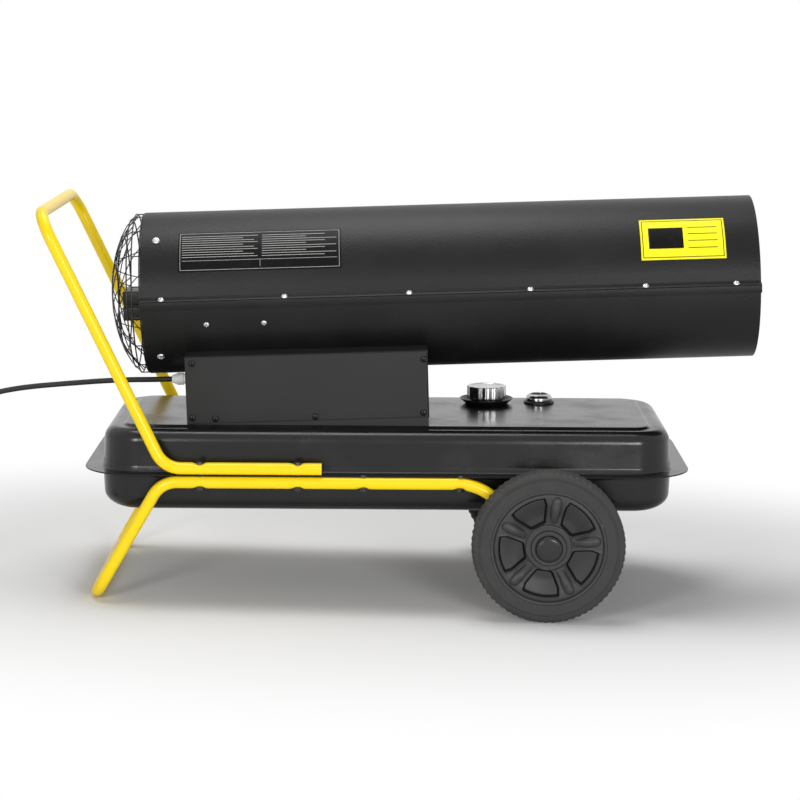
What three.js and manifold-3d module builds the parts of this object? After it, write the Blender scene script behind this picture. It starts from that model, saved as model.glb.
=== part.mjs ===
// A fuel-fired forced air heater on a two-wheeled cart: a sheet-steel barrel over a pressed fuel tank.
// Millimetres, +Z up, +X towards the warm air outlet, origin on the floor below the middle of the cart.
// The tank leans back a little on the cart and the barrel leans back a little more on the tank, so each
// has a frame of its own: along its length, across, and square to both.
import * as THREE from "three";
import { mergeVertices } from "three/addons/utils/BufferGeometryUtils.js";
import Module from "manifold-3d";

const wasm = await Module();
wasm.setup();

// ---------------------------------------------------------------- driving dimensions

const GAP = 0.3; // between two pieces that touch
const SHEET = 1; // pressed sheet steel

// fuel tank: two pressed shells that meet at a flange
const TANK_X = -16.5; // middle of the tank
const TANK_Z = 224.6; // height of the flange there
const TANK_TILT = 1.35; // degrees, outlet end up
const TANK_LENGTH = 942; // without the flange
const TANK_WIDTH = 374;
const FLANGE = 31; // how far the flange stands out
const FLANGE_CORNER = 95;
const TANK_TOP = 72.4; // raised panel above the flange
const TANK_BOTTOM = 68; // below the flange
const PANEL_STEP = 4; // height of the raised panel
const PANEL_INSET = 38; // from the tank's side to the raised panel
const RAIL_X = 40; // the rail between tank and control box, from the tank's middle

// barrel: two half shells that meet at folded side flanges
const BARREL_X = 79.8;
const BARREL_Z = 518;
const BARREL_TILT = 3.4; // degrees, outlet end up
const BARREL_LENGTH = 1021;
const BARREL_RADIUS = 136.2;
const SEAM_HEIGHT = 1.6; // outer edge of the seam above the barrel's axis
const SEAM_WIDTH = 12; // how far the side flanges stand out
const SEAM_DROP = 3.6; // how far they slope down on the way
const LOWER_LIP = 12.6; // hangs from the lower flange's outer edge
const SHELL_STEPS = 22; // straight stretches in each half shell's arc

// inlet guard
const GUARD_WIRE = 2.4;
const GUARD_BAND = 13;
const GUARD_DEPTH = 46;
const GUARD_RINGS = 3;
const GUARD_SPOKES = 10;
const GUARD_SIDES = 20; // straight stretches in a ring

// control box, from the barrel's middle and axis
const BOX_LEFT = -441.5;
const BOX_LENGTH = 401;
const BOX_WIDTH = 294;
const BOX_TOP = -91;
const BOX_BOTTOM = -202.4;
const BOX_SHOULDER = 4; // how far the top slopes up to the barrel

// cart
const TUBE_RADIUS = 10;
const TUBE_SIDES = 10;
const TRACK = 428; // between the side bars' middles
const WHEEL_X = 249.5;
const WHEEL_RADIUS = 125;
const WHEEL_WIDTH = 46;
const RIM_RADIUS = 94;
const WHEEL_SIDES = 26;
const AXLE_RADIUS = 7;
const LEG_FOOT_X = -491;
const LEG_TOP_X = -384.8;
const UPPER_BAR_END = -122.5;
const LOWER_BAR_END = 131;
const HANDLE_TOP_X = -587.5;
const HANDLE_TOP_Z = 636;
const HANDLE_LOW_X = -380;
const BEND = 45; // radius of the tube bends
const BOLT_RADIUS = 3.5;
const BOLT_STATIONS = [-305, -145, -38, 121]; // along the tank's flange
const LONG_BOLTS = 2; // that many also go through the handle frame

// filler and gauge, from the tank's middle
const FILLER_X = 172;
const FILLER_Y = 90;
const NECK_RADIUS = 28;
const NECK_HEIGHT = 18;
const NECK_SIDES = 20;
const TRAY_RADIUS = 46.5;
const CAP_RADIUS = 34;
const CAP_HEIGHT = 11;
const CAP_FLUTES = 12;
const GAUGE_X = 264;
const GAUGE_Y = 98;
const GAUGE_RADIUS = 22.8;
const GAUGE_HEIGHT = 16;
const FLOAT_ARM = 92;
const SUCTION_X = -215;
const SUCTION_Y = -40;
const SUCTION_END = 114.4; // above the flange, inside the control box
const DRAIN_X = -330;

// fan, motor and burner, along the barrel's axis
const SHAFT_RADIUS = 6;
const MOTOR_RADIUS = 58;
const MOTOR_START = -462;
const MOTOR_LENGTH = 122;
const MOTOR_SIDES = 20;
const PUMP_LENGTH = 36;
const PUMP_RADIUS = 44;
const FAN_CLEARANCE = 13.2; // from the blades to the barrel
const FAN_BLADES = 5;
const FAN_START = -322;
const FAN_DEPTH = 28;
const CHAMBER_START = -222;
const CHAMBER_LENGTH = 552;
const CHAMBER_CLEARANCE = 37.2; // from the chamber to the barrel
const CHAMBER_SIDES = 28;
const DIFFUSER_LENGTH = 78;
const AIR_FITTING = [-480, -8]; // along the barrel and across
const SPARK_N = 20; // spark plug above the axis
const HOSE_HOLES = [[-424, -46], [-256, -34], [-252, 30]]; // air in, fuel, air out
const HOSE_RADIUS = 3;

// controls on the far side of the box
const ROCKER_S = -372;
const RESET_S = -340;
const RESET_RADIUS = 3.5;
const KNOB_S = -262;
const CONTROL_N = -152;
const KNOB_RADIUS = 19;

// power cord
const CORD_RADIUS = 4.5;
const CORD_SIDES = 8;
const CORD_STEPS = 34;
const GLAND_Y = -70;
const GLAND_N = -138;
const GLAND_RADIUS = 10.2;
const GLAND_NECK = 7.5;
const GLAND_LENGTH = 28.5;
const COIL_X = -860;
const COIL_Y = -165;
const COIL_RADIUS = 57; // of the outer turn's middle
const COIL_PITCH = 9.7; // inwards for each turn, and up for each layer
const COIL_TURNS = 2.5;
const COIL_STEPS = 24; // for each turn
const COIL_SIDES = 6;
const PLUG_RADIUS = 14;
const PLUG_LENGTH = 44;

// ---------------------------------------------------------------- worked out from them

const rad = THREE.MathUtils.degToRad;
const barLift = TUBE_RADIUS + SHEET + GAP / 2 + GAP; // from the flange's middle to a bar's middle
const barY = TRACK / 2;
const barrelInner = BARREL_RADIUS - SHEET;
const seamEdge = BARREL_RADIUS + SEAM_WIDTH;
const insideFit = barrelInner * Math.cos(Math.PI / (2 * SHELL_STEPS)) - GAP; // clears the shell's flats
const barrelEnd = BARREL_LENGTH / 2;
const fanRadius = barrelInner - FAN_CLEARANCE;
const chamberRadius = barrelInner - CHAMBER_CLEARANCE;
const boxRight = BOX_LEFT + BOX_LENGTH;
const boxHalf = BOX_WIDTH / 2;
const capBase = TANK_TOP + GAP + NECK_HEIGHT + 2;
const facetRadius = TUBE_RADIUS * Math.cos(Math.PI / TUBE_SIDES); // a tube rests on one of its flats
const turned = (tilt, along, up) => [
  along * Math.cos(rad(tilt)) - up * Math.sin(rad(tilt)),
  along * Math.sin(rad(tilt)) + up * Math.cos(rad(tilt)),
];
const fromTank = (x, y, z) => {
  const [a, b] = turned(TANK_TILT, x, z);
  return new THREE.Vector3(TANK_X + a, y, TANK_Z + b);
};
const fromBarrel = (s, y, n) => {
  const [a, b] = turned(BARREL_TILT, s, n);
  return new THREE.Vector3(BARREL_X + a, y, BARREL_Z + b);
};

// ---------------------------------------------------------------- materials

const paint = (color, roughness, metalness = 0) =>
  new THREE.MeshStandardMaterial({ color, roughness, metalness });
const blackPaint = paint(0x2d2d2d, 0.5);
const tankPaint = paint(0x333333, 0.32);
const boxPaint = paint(0x343434, 0.6);
const yellowPaint = paint(0xffd81c, 0.3);
const blackPlastic = paint(0x2b2b2b, 0.55);
const wheelPlastic = paint(0x3a3a3a, 0.62);
const tyreRubber = paint(0x333333, 0.8);
const wireBlack = paint(0x1c1c1c, 0.4, 0.3);
const chrome = paint(0xd0d0d0, 0.15, 1);
const zinc = paint(0xc4c6c8, 0.3, 1);
const darkZinc = paint(0x5a5a5a, 0.4, 1);
const steel = paint(0x9a9c9e, 0.4, 1);
const heatSteel = paint(0x8c8478, 0.5, 1);
const aluminium = paint(0xb4b6b8, 0.4, 1);
const brass = paint(0xb59a50, 0.35, 1);
const ceramic = paint(0xece8de, 0.35);
const lensClear = paint(0xf0f4f4, 0.05);
const redPaint = paint(0xc62a20, 0.4);
const greyPlastic = paint(0xc9c9c6, 0.5);
const boardGreen = paint(0x2f6b3c, 0.5);
const cordRubber = paint(0x1e1e1e, 0.7);

// ---------------------------------------------------------------- solids and booleans

// Merges shared vertices, drops faces without area and turns the faces outwards.
function closed(geometry) {
  const bare = geometry.clone();
  for (const name of Object.keys(bare.attributes)) {
    if (name !== "position") bare.deleteAttribute(name);
  }
  bare.clearGroups();
  const merged = mergeVertices(bare, 1e-4);
  const place = merged.getAttribute("position");
  const index = merged.index.array;
  const kept = [];
  const [a, b, c] = [0, 1, 2].map(() => new THREE.Vector3());
  let volume = 0;
  for (let i = 0; i < index.length; i += 3) {
    const [p, q, r] = [index[i], index[i + 1], index[i + 2]];
    if (p === q || q === r || r === p) continue;
    kept.push(p, q, r);
    volume += a.fromBufferAttribute(place, p).dot(
      b.fromBufferAttribute(place, q).cross(c.fromBufferAttribute(place, r)),
    );
  }
  merged.setIndex(volume < 0 ? kept.reverse() : kept);
  return merged;
}

function solidOf(geometry) {
  const mesh = closed(geometry);
  return new wasm.Manifold(
    new wasm.Mesh({
      numProp: 3,
      vertProperties: new Float32Array(mesh.getAttribute("position").array),
      triVerts: new Uint32Array(mesh.index.array),
    }),
  );
}

function geometryOf(solid) {
  const mesh = solid.getMesh();
  const count = mesh.vertProperties.length / mesh.numProp;
  const place = new Float32Array(count * 3);
  for (let i = 0; i < count; i++) {
    place.set(mesh.vertProperties.subarray(i * mesh.numProp, i * mesh.numProp + 3), i * 3);
  }
  return new THREE.BufferGeometry()
    .setAttribute("position", new THREE.BufferAttribute(place, 3))
    .setIndex(new THREE.BufferAttribute(new Uint32Array(mesh.triVerts), 1));
}

const boolean = (how) => (first, ...others) =>
  geometryOf(others.map(solidOf).reduce((whole, other) => whole[how](other), solidOf(first)));
const join = boolean("add");
const cut = boolean("subtract");
const common = boolean("intersect");

// ---------------------------------------------------------------- plain shapes

const box = (x0, x1, y0, y1, z0, z1) =>
  new THREE.BoxGeometry(x1 - x0, y1 - y0, z1 - z0).translate(
    (x0 + x1) / 2, (y0 + y1) / 2, (z0 + z1) / 2,
  );

// Turns a shape made along Z so that it lies along another axis, and moves it there.
function along(axis, geometry, x = 0, y = 0, z = 0) {
  if (axis === "x") geometry.rotateY(Math.PI / 2);
  if (axis === "y") geometry.rotateX(-Math.PI / 2);
  return geometry.translate(x, y, z);
}

// A rod from low to high along an axis; side places are its middle's other two coordinates.
function rod(axis, radius, low, high, sideA, sideB, sides = 16) {
  const made = new THREE.CylinderGeometry(radius, radius, high - low, sides);
  made.rotateX(Math.PI / 2);
  made.translate(0, 0, (low + high) / 2);
  if (axis === "x") return along("x", made, 0, sideA, sideB);
  if (axis === "y") return along("y", made, sideA, 0, sideB);
  return made.translate(sideA, sideB, 0);
}

// Turns a profile of [radius, height] points about Z. A ring's profile closes on itself.
function turn(profile, sides, ring = false) {
  const points = profile.map(([r, z]) => new THREE.Vector2(r, z));
  if (ring) points.push(points[0].clone());
  return new THREE.LatheGeometry(points, sides).rotateX(Math.PI / 2);
}

const outline = (points) => new THREE.Shape(points.map(([a, b]) => new THREE.Vector2(a, b)));
const extruded = (shape, depth) =>
  new THREE.ExtrudeGeometry(shape, { depth, bevelEnabled: false, curveSegments: 8 });

// An outline of [y, z] points drawn out along X.
const extrudedX = (points, x0, x1) =>
  extruded(outline(points), x1 - x0)
    .applyMatrix4(
      new THREE.Matrix4().makeBasis(
        new THREE.Vector3(0, 1, 0),
        new THREE.Vector3(0, 0, 1),
        new THREE.Vector3(1, 0, 0),
      ),
    )
    .translate(x0, 0, 0);

// An outline of [x, z] points drawn out along Y.
const extrudedY = (points, y0, y1) =>
  extruded(outline(points), y1 - y0).rotateX(Math.PI / 2).translate(0, y1, 0);

const arc = (radius, from, to, steps) =>
  Array.from({ length: steps + 1 }, (_, i) => {
    const angle = from + ((to - from) * i) / steps;
    return [radius * Math.cos(angle), radius * Math.sin(angle)];
  });

// ---------------------------------------------------------------- tubes along a route

// A route with one ring of the tube at each of its points.
class Route extends THREE.Curve {
  constructor(points) {
    super();
    this.points = points;
  }
  getPoint(t, target = new THREE.Vector3()) {
    const place = t * (this.points.length - 1);
    const i = Math.min(Math.floor(place), this.points.length - 2);
    return target.lerpVectors(this.points[i], this.points[i + 1], place - i);
  }
  getPointAt(u, target) {
    return this.getPoint(u, target);
  }
  getTangent(t, target = new THREE.Vector3()) {
    const last = this.points.length - 1;
    const i = Math.round(t * last);
    const before = this.points[Math.max(i - 1, 0)];
    const here = this.points[i];
    const after = this.points[Math.min(i + 1, last)];
    const arriving = here.clone().sub(before).normalize();
    const leaving = after.clone().sub(here).normalize();
    return target.copy(arriving).add(leaving).normalize();
  }
  getTangentAt(u, target) {
    return this.getTangent(u, target);
  }
}

// A round tube of a circle with flats, turned by some degrees about its route.
function tube(points, radius, sides, turnBy = 0) {
  const circle = outline(arc(radius, rad(turnBy), rad(turnBy) + 2 * Math.PI, sides).slice(0, -1));
  return new THREE.ExtrudeGeometry(circle, {
    steps: points.length - 1,
    extrudePath: new Route(points),
    bevelEnabled: false,
  });
}

// A smooth route in even steps between a straight start and a straight end.
function smooth(points, steps) {
  const curve = new THREE.CatmullRomCurve3(points.slice(1, -1), false, "centripetal");
  const between = Array.from({ length: steps + 1 }, (_, i) => curve.getPointAt(i / steps));
  return [points[0], ...between, points[points.length - 1]];
}

// Rounds the corners of a route with arcs of one radius.
function rounded(corners, radius, step = 18) {
  const points = [corners[0]];
  for (let i = 1; i < corners.length - 1; i++) {
    const arriving = corners[i].clone().sub(corners[i - 1]).normalize();
    const leaving = corners[i + 1].clone().sub(corners[i]).normalize();
    const bend = arriving.angleTo(leaving);
    const reach = radius * Math.tan(bend / 2);
    const start = corners[i].clone().addScaledVector(arriving, -reach);
    const inward = leaving.clone().addScaledVector(arriving, -leaving.dot(arriving)).normalize();
    const middle = start.clone().addScaledVector(inward, radius);
    const count = Math.max(2, Math.round(THREE.MathUtils.radToDeg(bend) / step));
    for (let k = 0; k <= count; k++) {
      const angle = (bend * k) / count;
      points.push(
        middle.clone()
          .addScaledVector(inward, -radius * Math.cos(angle))
          .addScaledVector(arriving, radius * Math.sin(angle)),
      );
    }
  }
  points.push(corners[corners.length - 1]);
  return points;
}

// ---------------------------------------------------------------- lofts

// A closed solid through rings of equally many points, with a flat fan at each end.
function loft(rings) {
  const count = rings[0].length;
  const places = rings.flat();
  const faces = [];
  for (let r = 0; r < rings.length - 1; r++) {
    for (let i = 0; i < count; i++) {
      const j = (i + 1) % count;
      const [a, b] = [r * count + i, r * count + j];
      faces.push(a, b, b + count, a, b + count, a + count);
    }
  }
  for (const [r, ring] of [[0, rings[0]], [rings.length - 1, rings[rings.length - 1]]]) {
    const middle = ring.reduce((sum, p) => sum.add(p), new THREE.Vector3()).divideScalar(count);
    places.push(middle);
    for (let i = 0; i < count; i++) {
      const [a, b] = [r * count + i, r * count + ((i + 1) % count)];
      if (r === 0) faces.push(places.length - 1, b, a);
      else faces.push(places.length - 1, a, b);
    }
  }
  return new THREE.BufferGeometry().setFromPoints(places).setIndex(faces);
}

// A rounded rectangle at one height, with its middle at the origin.
function roundedRing(halfX, halfY, corner, z, steps = 4) {
  const ring = [];
  for (const [sx, sy, from] of [[1, 1, 0], [-1, 1, 1], [-1, -1, 2], [1, -1, 3]]) {
    for (let i = 0; i <= steps; i++) {
      const angle = ((from + i / steps) * Math.PI) / 2;
      ring.push(
        new THREE.Vector3(
          sx * (halfX - corner) + corner * Math.cos(angle),
          sy * (halfY - corner) + corner * Math.sin(angle),
          z,
        ),
      );
    }
  }
  return ring;
}

// The same path moved sideways by a distance, mitred at its points.
function beside(path, distance) {
  return path.map(([x, z], i) => {
    const before = path[Math.max(i - 1, 0)];
    const after = path[Math.min(i + 1, path.length - 1)];
    const unit = (p, q) => {
      const length = Math.hypot(q[0] - p[0], q[1] - p[1]) || 1;
      return [(q[0] - p[0]) / length, (q[1] - p[1]) / length];
    };
    const first = i === 0 ? unit([x, z], after) : unit(before, [x, z]);
    const second = i === path.length - 1 ? first : unit([x, z], after);
    const normal = [-(first[1] + second[1]) / 2, (first[0] + second[0]) / 2];
    const square = normal[0] ** 2 + normal[1] ** 2;
    return [x + (distance * normal[0]) / square, z + (distance * normal[1]) / square];
  });
}

// A pressed pan: a path of [inset from the flange's edge, height], made as thick as the sheet.
function pan(path, sheetSide) {
  const halfX = TANK_LENGTH / 2 + FLANGE;
  const halfY = TANK_WIDTH / 2 + FLANGE;
  const ring = ([inset, z]) =>
    roundedRing(halfX - inset, halfY - inset, Math.max(FLANGE_CORNER - inset, 6), z);
  return loft([...path.slice().reverse().map(ring), ...beside(path, sheetSide).map(ring)]);
}

// ---------------------------------------------------------------- the scene

const heater = new THREE.Group();
const tankFrame = new THREE.Group();
tankFrame.position.set(TANK_X, 0, TANK_Z);
tankFrame.rotation.y = -rad(TANK_TILT);
const barrelFrame = new THREE.Group();
barrelFrame.position.set(BARREL_X, 0, BARREL_Z);
barrelFrame.rotation.y = -rad(BARREL_TILT);
heater.add(tankFrame, barrelFrame);

function piece(parent, name, material, geometry) {
  const mesh = new THREE.Mesh(closed(geometry), material);
  mesh.name = name;
  parent.add(mesh);
  return mesh;
}

const sides = [["near", -1], ["far", 1]];

// ---------------------------------------------------------------- fuel tank

const boltRods = (radius, low, high, stations = BOLT_STATIONS) =>
  stations.flatMap((x) => sides.map(([, side]) => rod("z", radius, low, high, x, side * barY, 6)));

function tankShells() {
  const upper = [
    [0, GAP / 2 + SHEET],
    [FLANGE - 7, GAP / 2 + SHEET],
    [FLANGE - 2, 4],
    [FLANGE, 9],
    [FLANGE + 2, 48],
    ...arc(20, Math.PI, Math.PI / 2, 2).map(([a, b]) => [FLANGE + 22 + a, TANK_TOP - PANEL_STEP - 20 + b]),
    [FLANGE + PANEL_INSET - 5, TANK_TOP - PANEL_STEP],
    [FLANGE + PANEL_INSET, TANK_TOP],
    [FLANGE + PANEL_INSET + 60, TANK_TOP],
  ];
  const lower = [
    [0, -GAP / 2 - SHEET],
    [FLANGE - 6, -GAP / 2 - SHEET],
    [FLANGE - 1, -5],
    [FLANGE, -10],
    [FLANGE + 1, -TANK_BOTTOM + 30],
    ...arc(1, Math.PI, 1.5 * Math.PI, 3).map(([a, b]) => [
      FLANGE + 45 + 44 * a,
      -TANK_BOTTOM + 28 + 28 * b,
    ]),
    [FLANGE + 80, -TANK_BOTTOM],
  ];
  const top = TANK_TOP + 1;
  piece(tankFrame, "tank_upper_shell", tankPaint, cut(
    pan(upper, -SHEET),
    ...boltRods(BOLT_RADIUS + 2 * GAP, -5, 5),
    rod("z", NECK_RADIUS + GAP, 50, top, FILLER_X, FILLER_Y, 24),
    rod("z", 14 + GAP, 50, top, GAUGE_X, GAUGE_Y, 16),
    rod("z", 4 + GAP, 50, top, SUCTION_X, SUCTION_Y, 12),
  ));
  piece(tankFrame, "tank_lower_shell", tankPaint, cut(
    pan(lower, SHEET),
    ...boltRods(BOLT_RADIUS + 2 * GAP, -5, 5),
    rod("z", 6 + GAP, -TANK_BOTTOM - 5, -50, DRAIN_X, 0, 12),
  ));
}

function filler() {
  const z = TANK_TOP + GAP;
  const bore = NECK_RADIUS - 3;
  const neck = turn([
    [bore, z - 8], [NECK_RADIUS, z - 8], [NECK_RADIUS, z], [TRAY_RADIUS - 11, z],
    [TRAY_RADIUS, z + 9], [TRAY_RADIUS - 1, z + 10], [TRAY_RADIUS - 12, z + 2],
    [NECK_RADIUS, z + 2], [NECK_RADIUS, z + NECK_HEIGHT], [bore, z + NECK_HEIGHT],
  ], NECK_SIDES, true);
  piece(tankFrame, "filler_neck", blackPlastic, neck.translate(FILLER_X, FILLER_Y, 0));

  const rim = z + NECK_HEIGHT + GAP;
  const mesh = bore - GAP;
  const strainer = turn([
    [0, z - 72], [mesh - 2, z - 72], [mesh, z - 70], [mesh, rim], [NECK_RADIUS - 1, rim],
    [NECK_RADIUS - 1, rim + 1], [mesh - 1.2, rim + 1], [mesh - 1.2, z - 69], [mesh - 3, z - 70.8],
    [0, z - 70.8],
  ], NECK_SIDES);
  piece(tankFrame, "filler_strainer", steel, strainer.translate(FILLER_X, FILLER_Y, 0));

  const flutes = Array.from({ length: CAP_FLUTES * 3 }, (_, i) => {
    const angle = (i / (CAP_FLUTES * 3)) * 2 * Math.PI;
    const r = CAP_RADIUS - (i % 3 === 0 ? 1.8 : 0);
    return [r * Math.cos(angle), r * Math.sin(angle)];
  });
  const knob = extruded(outline(flutes), CAP_HEIGHT - 2).translate(0, 0, capBase);
  const crown = turn([
    [0, capBase + CAP_HEIGHT - 3], [CAP_RADIUS - 2.2, capBase + CAP_HEIGHT - 3],
    [CAP_RADIUS - 2.4, capBase + CAP_HEIGHT - 1], [CAP_RADIUS - 5, capBase + CAP_HEIGHT],
    [0, capBase + CAP_HEIGHT],
  ], 20);
  const skirt = rod("z", NECK_RADIUS + 3, rim - 6, capBase + 1, 0, 0, NECK_SIDES);
  const clear = (NECK_RADIUS + GAP) / Math.cos(Math.PI / NECK_SIDES); // its flats clear the neck's corners
  const recess = rod("z", clear, rim - 7, rim + 1 + GAP, 0, 0, NECK_SIDES);
  piece(tankFrame, "fuel_cap", chrome, cut(join(knob, crown, skirt), recess)
    .translate(FILLER_X, FILLER_Y, 0));
}

function gauge() {
  const z = TANK_TOP + GAP;
  const top = z + GAUGE_HEIGHT;
  const stem = 3;
  const pivot = 5;
  const base = turn([
    [0, z - 6], [14, z - 6], [14, z], [GAUGE_RADIUS + 3.8, z], [GAUGE_RADIUS + 3.8, z + 2],
    [GAUGE_RADIUS + 1.5, z + 4], [0, z + 4],
  ], 20);
  const leg = box(-stem, stem, -stem, stem, pivot - 6, z - 5);
  const pin = rod("x", 2, 0, 12, 0, pivot, 10);
  piece(tankFrame, "gauge_body", blackPlastic, join(base, leg, pin).translate(GAUGE_X, GAUGE_Y, 0));

  const seat = z + 4 + GAP;
  const bezel = turn([
    [GAUGE_RADIUS - 3, seat], [GAUGE_RADIUS, seat], [GAUGE_RADIUS, top - 7],
    [GAUGE_RADIUS - 2.4, top - 2.6], [GAUGE_RADIUS - 8, top],
    [GAUGE_RADIUS - 8, top - 1.5], [GAUGE_RADIUS - 4.4, top - 3.6], [GAUGE_RADIUS - 3, top - 7],
  ], 20, true);
  piece(tankFrame, "gauge_bezel", chrome, bezel.translate(GAUGE_X, GAUGE_Y, 0));

  const glass = turn([
    [0, top - 4.6], [GAUGE_RADIUS - 5.6, top - 4.6], [GAUGE_RADIUS - 5.6, top - 3.6],
    [0, top - 3.2],
  ], 20);
  piece(tankFrame, "gauge_lens", lensClear, glass.translate(GAUGE_X, GAUGE_Y, 0));

  const needleZ = z + 4 + 2;
  const needle = join(
    rod("z", 2.4, z + 4 + GAP, needleZ + 1.2, 0, 0, 10),
    extruded(outline([[-1.6, -4], [1.6, -4], [0.8, 13], [-0.8, 13]]), 1).translate(0, 0, needleZ - 0.5),
  );
  piece(tankFrame, "gauge_pointer", redPaint, needle.translate(GAUGE_X, GAUGE_Y, 0));

  const eye = rod("x", 5, stem + GAP, stem + GAP + 4, 0, pivot, 14);
  const hole = rod("x", 2 + GAP, stem, stem + GAP + 5, 0, pivot, 14);
  const arm = box(stem + GAP + 0.5, stem + GAP + 3.5, -FLOAT_ARM, -4, pivot - 1.5, pivot + 1.5);
  const float = rod("x", 14, -12, 22, -FLOAT_ARM, pivot, 18);
  piece(tankFrame, "float_arm", blackPlastic, cut(join(eye, arm, float), hole)
    .translate(GAUGE_X, GAUGE_Y, 0));
}

function tankFittings() {
  const plug = join(
    rod("z", 11, -TANK_BOTTOM - 8, -TANK_BOTTOM - GAP, DRAIN_X, 0, 6),
    rod("z", 6, -TANK_BOTTOM - 2, -TANK_BOTTOM + 9, DRAIN_X, 0, 12),
  );
  piece(tankFrame, "drain_plug", zinc, plug);

  const low = -TANK_BOTTOM + SHEET + 5;
  const z = TANK_TOP + GAP;
  const pipe = turn([
    [0, low], [10, low], [10, low + 20], [4, low + 23], [4, z], [9, z], [9, z + 1.5], [4, z + 1.5],
    [4, SUCTION_END], [0, SUCTION_END],
  ], 12);
  piece(tankFrame, "suction_pipe", brass, pipe.translate(SUCTION_X, SUCTION_Y, 0));
}

// The height of the control box's floor above the tank's flange, at a place along the tank.
function boxFloor(x) {
  const [low, high] = [BOX_LEFT, boxRight].map((s) => {
    const point = fromBarrel(s, 0, BOX_BOTTOM);
    return turned(-TANK_TILT, point.x - TANK_X, point.z - TANK_Z);
  });
  return THREE.MathUtils.mapLinear(x, low[0], high[0], low[1], high[1]);
}

// A folded rail under the outlet end of the control box, where the box stands clear of the tank.
function boxRail() {
  const [x0, x1] = [RAIL_X - 15, RAIL_X + 15];
  const low = TANK_TOP + GAP;
  const top = (x) => boxFloor(x) - GAP;
  const block = [[x0, low], [x1, low], [x1, top(x1)], [x0, top(x0)]];
  const inside = [[x0 - 1, low + 2], [x1 - 2, low + 2], [x1 - 2, top(x1) - 2], [x0 - 1, top(x0) - 2]];
  piece(tankFrame, "box_rail", boxPaint, cut(extrudedY(block, -130, 130), extrudedY(inside, -131, 131)));
}

// ---------------------------------------------------------------- cart

function handleFrame() {
  const side = (y) => [
    fromTank(UPPER_BAR_END - TANK_X, y, barLift),
    fromTank(HANDLE_LOW_X - TANK_X, y, barLift),
    new THREE.Vector3(HANDLE_TOP_X, y, HANDLE_TOP_Z),
  ];
  const route = rounded([...side(-barY), ...side(barY).reverse()], BEND);
  const holes = BOLT_STATIONS.slice(0, LONG_BOLTS).flatMap((x) => frameBoltHoles(x, 0, 2 * barLift));
  return cut(tube(route, TUBE_RADIUS, TUBE_SIDES), ...holes);
}

// Holes for the bolts at one station, in the heater's own frame.
function frameBoltHoles(x, low, high) {
  return sides.map(([, side]) =>
    rod("z", BOLT_RADIUS + 2 * GAP, low - 2, high + 2, x, side * barY, 6)
      .rotateY(-rad(TANK_TILT))
      .translate(TANK_X, 0, TANK_Z),
  );
}

function legFrame() {
  const foot = (y) => new THREE.Vector3(LEG_FOOT_X, y, facetRadius);
  const axleEye = (y) => new THREE.Vector3(WHEEL_X, y, WHEEL_RADIUS);
  const side = (y) => [
    axleEye(y),
    fromTank(LOWER_BAR_END - TANK_X, y, -barLift),
    fromTank(LEG_TOP_X - TANK_X, y, -barLift),
    foot(y),
  ];
  const knee = fromTank(LEG_TOP_X - TANK_X, 0, -barLift);
  const lean = THREE.MathUtils.radToDeg(Math.atan2(knee.x - LEG_FOOT_X, knee.z - facetRadius));
  const route = rounded([...side(-barY), ...side(barY).reverse()], BEND);
  const flat = 180 / TUBE_SIDES;
  const bent = tube(route, TUBE_RADIUS, TUBE_SIDES, flat - lean);
  const eyes = sides.map(([, s]) =>
    rod("y", AXLE_RADIUS + 6, s * barY - TUBE_RADIUS, s * barY + TUBE_RADIUS, WHEEL_X, WHEEL_RADIUS, 14),
  );
  const bores = rod("y", AXLE_RADIUS + GAP, -TRACK, TRACK, WHEEL_X, WHEEL_RADIUS, 14);
  const holes = BOLT_STATIONS.flatMap((x) => frameBoltHoles(x, -2 * barLift, 0));
  return cut(join(bent, ...eyes), bores, ...holes);
}

function frameBolts() {
  BOLT_STATIONS.forEach((x, i) => {
    const high = i < LONG_BOLTS ? barLift + TUBE_RADIUS : SHEET + GAP / 2;
    const low = -barLift - TUBE_RADIUS;
    for (const [word, side] of sides) {
      const bolt = join(
        rod("z", 6.5, high + GAP, high + GAP + 4, x, side * barY, 8),
        rod("z", BOLT_RADIUS, low - 9, high + 2, x, side * barY, 6),
        rod("z", 7, low - GAP - 5.5, low - GAP, x, side * barY, 6),
      );
      piece(tankFrame, `frame_bolt_${word}_${i + 1}`, darkZinc, bolt);
    }
  });
}

// The wheel's disc, rim and five ribs, its outer face towards +Z, its middle plane at 0.
function wheelDisc() {
  const half = WHEEL_WIDTH / 2;
  const rim = RIM_RADIUS;
  const disc = turn([
    [AXLE_RADIUS + GAP, -half], [24, -half], [24, -4], [rim - 8, -4], [rim - 8, -half + 2],
    [rim, -half + 2], [rim, half - 2], [rim - 10, half - 2], [rim - 12, 7], [24, 7],
    [19, half], [AXLE_RADIUS + GAP, half],
  ], WHEEL_SIDES, true);
  const rib = extruded(
    outline([[20, -8], [rim - 20, -6], [rim - 8, -15], [rim - 8, 15], [rim - 20, 6], [20, 8]]), 10,
  ).translate(0, 0, 6);
  const ribs = Array.from({ length: 5 }, (_, i) => rib.clone().rotateZ(rad(82 + 72 * i)));
  return join(disc, ...ribs);
}

function tyreRing() {
  const half = WHEEL_WIDTH / 2;
  const inner = RIM_RADIUS + GAP;
  return turn([
    [inner, -half + 1], [WHEEL_RADIUS - 8, -half], [WHEEL_RADIUS - 2, -half + 4],
    [WHEEL_RADIUS, -half + 10], [WHEEL_RADIUS, half - 10], [WHEEL_RADIUS - 2, half - 4],
    [WHEEL_RADIUS - 8, half], [inner, half - 1],
  ], WHEEL_SIDES, true);
}

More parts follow.
